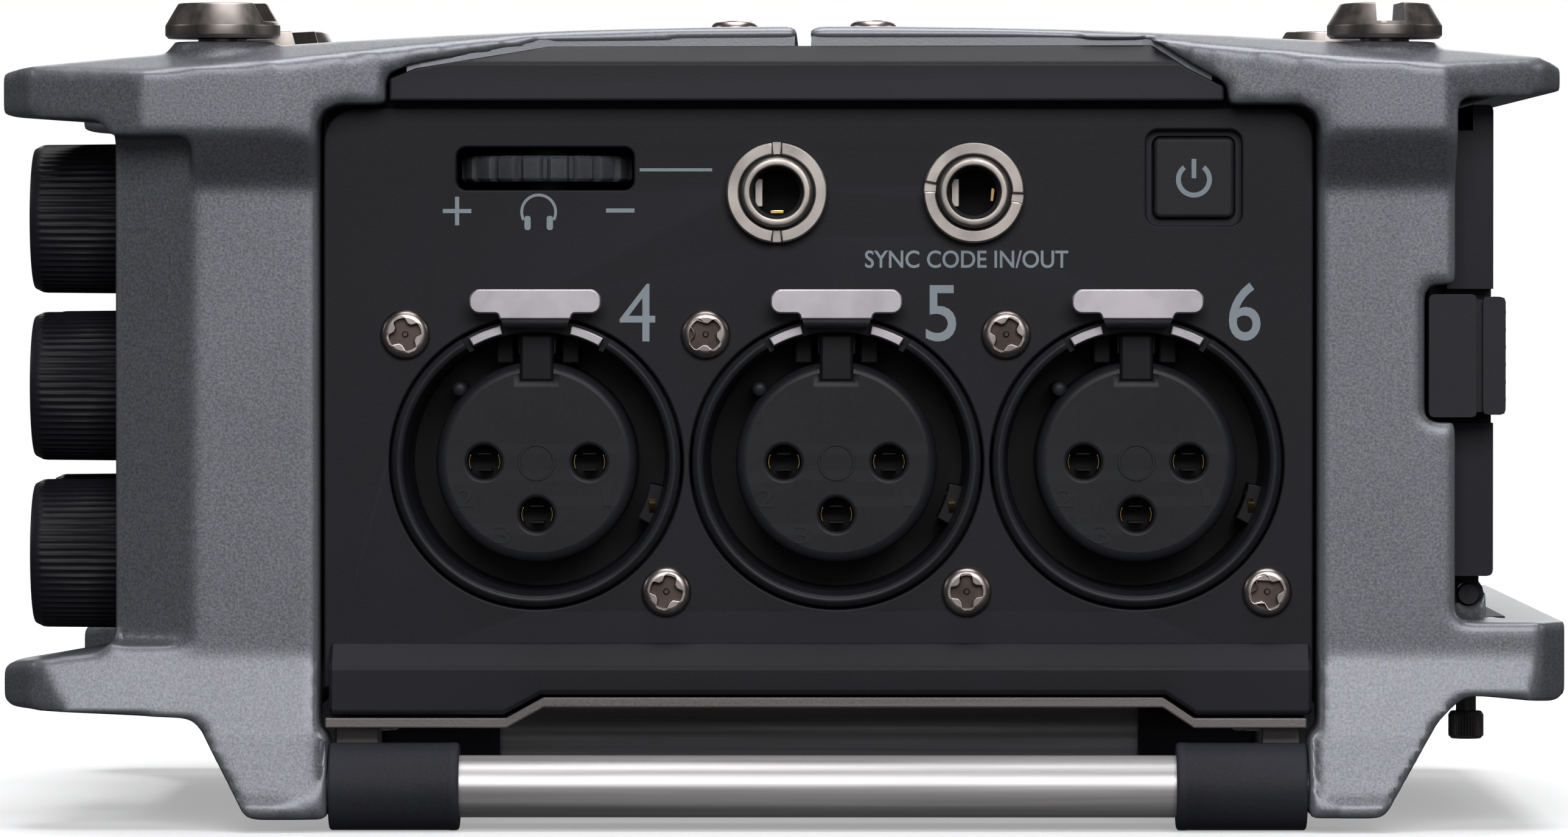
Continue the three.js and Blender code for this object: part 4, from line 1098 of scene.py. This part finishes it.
# ---------------------------------------------------------------- rear
def battery_door():
    dress("battery_door", PANEL, 0.22)
    dress("right_door_latch", COVER, 0.2)
    dress("left_door_latch", COVER, 0.2)
    contacts = Shape()
    for z in (30.8, 36.8, 42.8):
        strip = rect(-32.4, -27.0, z - 0.28, z + 0.28, 0.1)
        contacts.plate(strip, -0.2, 0.12, bevel=0.05, at=on("rear", 0, 54.05, 0))
    contacts.piece("battery_contacts", GOLD, "battery_door", "nickel")
    for side, s in (("right", 1), ("left", -1)):
        ribs = Shape()
        lo, hi = box_mm(f"{side}_door_latch")
        outer = hi.x if s > 0 else -lo.x
        for k in range(6):
            z = 33.0 + k * 1.35
            edges = sorted((-s * (outer - 8.6), -s * (outer - 1.4)))
            ribs.plate(rect(*edges, z, z + 0.5, 0.2), -0.3, 0.0, bevel=0.1, at=on("rear", 0, hi.y + 0.12, 0))
        ribs.piece(f"{side}_latch_ribs", COVER, f"{side}_door_latch")
    seal = Shape()
    seal.plate(rect(-37.6, 37.6, 51.95, 56.3, 0.2), 0, 0.24, bevel=0.05, at=on("top", 0, 0, 16.02))
    seal.piece("shelf_seal", RUBBER, slot="rubber")


def cells():
    dress("battery_holder", PANEL, 0.2)
    cell, metal = Shape(), Shape()
    for i, (y, z) in enumerate(((27.3, 26.6), (27.3, 41.3), (41.9, 26.6), (41.9, 41.3))):
        s = 1 if i in (0, 3) else -1
        at = Matrix.Translation((0, y, z)) @ Matrix.Rotation(s * math.pi / 2, 4, "Y")
        wrap = [(6.9, -24.6, 0.4), (7.1, -24.1), (7.1, 23.6, 0.6), (6.2, 24.2, 0.3)]
        cell.lathe([(0, -24.6), *wrap, (0, 24.2)], 48, at=at)
        metal.lathe([(0, 24.1), (2.6, 24.1), (2.6, 25.3, 0.3), (0, 25.4)], 32, at=at)
        metal.lathe([(0, -24.9), (5.6, -24.9, 0.1), (5.6, -24.5), (0, -24.5)], 32, at=at)
    cell.piece("cells", CELL_WRAP, slot="plastic")
    metal.piece("cell_ends", NICKEL, slot="nickel")


def knurled_screw():
    at = on("top", 25, 54.1, box_mm("thumb_screw")[0].z)
    ribs = 36

    def knurl(t, r, w):
        phase = (t * ribs / TAU) % 1
        return r - (0.11 * abs(2 * phase - 1) if r > 1.2 and 0.2 < w < 2.0 else 0)

    shape = Shape()
    head = [(1.15, 0, 0.1), (1.4, 0.25), (1.4, 0.9), (1.4, 1.9), (1.2, 2.2, 0.1)]
    shape.lathe([(0, 0), *head, (0.8, 2.2), (0.8, 5.6), (0, 5.6)], ribs * 4, at=at, wobble=knurl)
    shape.piece("thumb_screw_knurled", PLATE, "thumb_screw", "dark_metal", "thumb_screw", sharp=30)


# ---------------------------------------------------------------- left side and underside
def port_cover():
    at = on("left", -FACE_X, 20, 50)
    shape = Shape()
    shape.plate(rect(-12.5, 12.5, -4, 4, 0.9, 8), -0.7, 0.9, bevel=0.3, steps=4, at=at)
    shape.plate(rect(-14.1, -11.5, -1.6, 1.6, 0.7, 6), 0.35, 0.9, bevel=0.18, back_bevel=0.1, at=at)
    for k in range(4):
        shape.plate(rect(-13.7 + 0.55 * k, -13.45 + 0.55 * k, -1.1, 1.1, 0.1), 0.8, 1.02, bevel=0.08, at=at)
    shape.piece("port_cover", RUBBER, "port_flap", "rubber", "port_flap")
    inner = Shape()
    face = on("left", -FACE_X)
    mouth = rect(-17.8, -10.0, 49.0, 51.0, 0.95, 8)
    inner.plate(rect(-18.3, -9.5, 48.5, 51.5, 1.4, 8), -6, -1.4, [mouth], bevel=0.08, at=face)
    # The tongue in the mouth and the back behind the second opening are in the darker cavity material: partly
    # their own black, partly painted shade.
    inner.plate(rect(-17.2, -10.6, 49.75, 50.25, 0.1), -6, -1.9, bevel=0.05, mat=1, at=face)
    inner.plate(rect(-30.7, -19.6, 49.3, 50.7), -7, -2.6, bevel=0.05, mat=1, at=face)
    inner.piece("port_sockets", [NICKEL, CAVITY_SHADE], slot="nickel")
    jack("sync_jack", "line_output", "left", -FACE_X, 0.3, stands_for=False)


def underside():
    shape = Shape()
    at = on("under", 0, 0, 9.5)
    thread = [(3.17, -2.2)]
    for k in range(8):
        w = -2.2 + k * 0.28
        thread += [(2.85, w + 0.14), (3.15, w + 0.28)]
    shape.lathe([(3.17, 0.04), (3.15, 0.04)] + thread[::-1] + [(3.19, -2.2)], 48, at=at)
    shape.piece("camera_thread", BRASS, slot="dark_metal")
    # Screw heads whose recess floors are in the darkened recess material: painted shade.
    screws = Shape()
    for k, (x, y) in enumerate(((-36, -31.5), (36, -31.5), (-36, 36.4), (36, 36.4))):
        screw_head(screws, on("under", x, y, 7.88), radius=1.5, height=0.7, turn=k * 0.7)
    screws.piece("underside_screws", [SCREW, RECESS_SHADE], slot="nickel")


def carried_over():
    dress("top_cover", COVER, 0.28, 3)
    dress("bottom_plate", PLATE, 0.12)
    dress("front_board", BOARD, 0)
    dress("main_board", BOARD, 0)


# ---------------------------------------------------------------- studio
FLOOR_RADIUS = 0.62
FLOOR_GLOW = 0.34
AMBIENT = 0.07
SIDE_POWER, LOW_POWER = 6.6, 0.35


def studio():
    floor = bpy.data.meshes.new("floor")
    turns = [TAU * i / 96 for i in range(96)]
    ring = [(FLOOR_RADIUS * math.cos(t), FLOOR_RADIUS * math.sin(t), 0) for t in turns]
    floor.from_pydata(ring, [], [tuple(range(96))])
    ground = bpy.data.objects.new("floor", floor)
    scene.collection.objects.link(ground)
    glow = dict(Emission_Color=(1, 1, 1, 1), Emission_Strength=FLOOR_GLOW)
    paper, tree, bsdf = new_material("pale_floor", (0.6, 0.6, 0.61), 0.8, **glow)
    grain = ramp(tree, noise(tree, 40, 2), [(0.3, (0.59, 0.59, 0.6)), (0.7, (0.61, 0.61, 0.62))])
    tree.links.new(grain, bsdf.inputs["Base Color"])
    floor.materials.append(paper)
    # Only the camera sees the floor, so its bounce does not light the undersides.
    ground.visible_diffuse = ground.visible_glossy = False

    world = bpy.data.worlds.new("studio")
    scene.world = world
    world.use_nodes = True
    nodes, links = world.node_tree.nodes, world.node_tree.links
    back = nodes["Background"]
    seen = nodes.new("ShaderNodeBackground")
    seen.inputs["Color"].default_value = (1, 1, 1, 1)
    seen.inputs["Strength"].default_value = 1.0
    back.inputs["Color"].default_value = (0.93, 0.95, 1.0, 1)
    back.inputs["Strength"].default_value = AMBIENT
    path, pick = nodes.new("ShaderNodeLightPath"), nodes.new("ShaderNodeMixShader")
    links.new(path.outputs["Is Camera Ray"], pick.inputs["Fac"])
    links.new(back.outputs[0], pick.inputs[1])
    links.new(seen.outputs[0], pick.inputs[2])
    links.new(pick.outputs[0], nodes["World Output"].inputs["Surface"])

    def softbox(name, where, size, power, towards=(0, 0, 0.035)):
        light = bpy.data.lights.new(name, "AREA")
        light.shape = "RECTANGLE"
        light.size, light.size_y = size
        light.energy = power
        obj = bpy.data.objects.new(name, light)
        scene.collection.objects.link(obj)
        obj.location = where
        obj.rotation_euler = (Vector(towards) - Vector(where)).to_track_quat("-Z", "Y").to_euler()

    softbox("overhead", (0, 0.03, 0.8), (0.7, 0.5), 7.5)
    for name, sign, power in (("right", 1, 1.0), ("left", -1, 0.45)):
        softbox(f"{name}_side", (sign * 0.9, 0.08, 0.42), (0.6, 0.42), SIDE_POWER * power)
        softbox(f"{name}_low", (sign * 1.0, 0, 0.1), (0.8, 0.14), LOW_POWER * power * power)
    softbox("front_side", (0, -0.95, 0.42), (0.42, 0.26), 1.4)
    softbox("rear_side", (0, 0.95, 0.42), (0.42, 0.26), 1.4)
    scene.view_settings.view_transform = "Standard"


def camera():
    eye = Vector((0.775, 0.0035, 0.043))
    target = Vector((0.050, 0.00007, 0.03187))
    cam = bpy.data.cameras.new("camera")
    cam.sensor_width = 36
    cam.lens = 216.9
    cam.clip_start, cam.clip_end = 0.01, 20
    obj = bpy.data.objects.new("camera", cam)
    scene.collection.objects.link(obj)
    obj.location = eye
    obj.rotation_euler = (target - eye).to_track_quat("-Z", "Y").to_euler()
    scene.camera = obj


# ---------------------------------------------------------------- everything
random.seed(7)
camera()
studio()
frames()
carried_over()
right_panel()
left_panel()
right_print()
left_print()
light_seals()
for number in range(1, 7):
    input_connector(number)
jack("phones_jack", "phones_socket", "right", FACE_X, 0.0)
jack("sync_jack", "sync_socket", "right", FACE_X, 1.45)
volume_wheel()
power_button()
rods()
front_panel()
screen()
front_keys()
level_knobs()
battery_door()
cells()
knurled_screw()
port_cover()
underside()
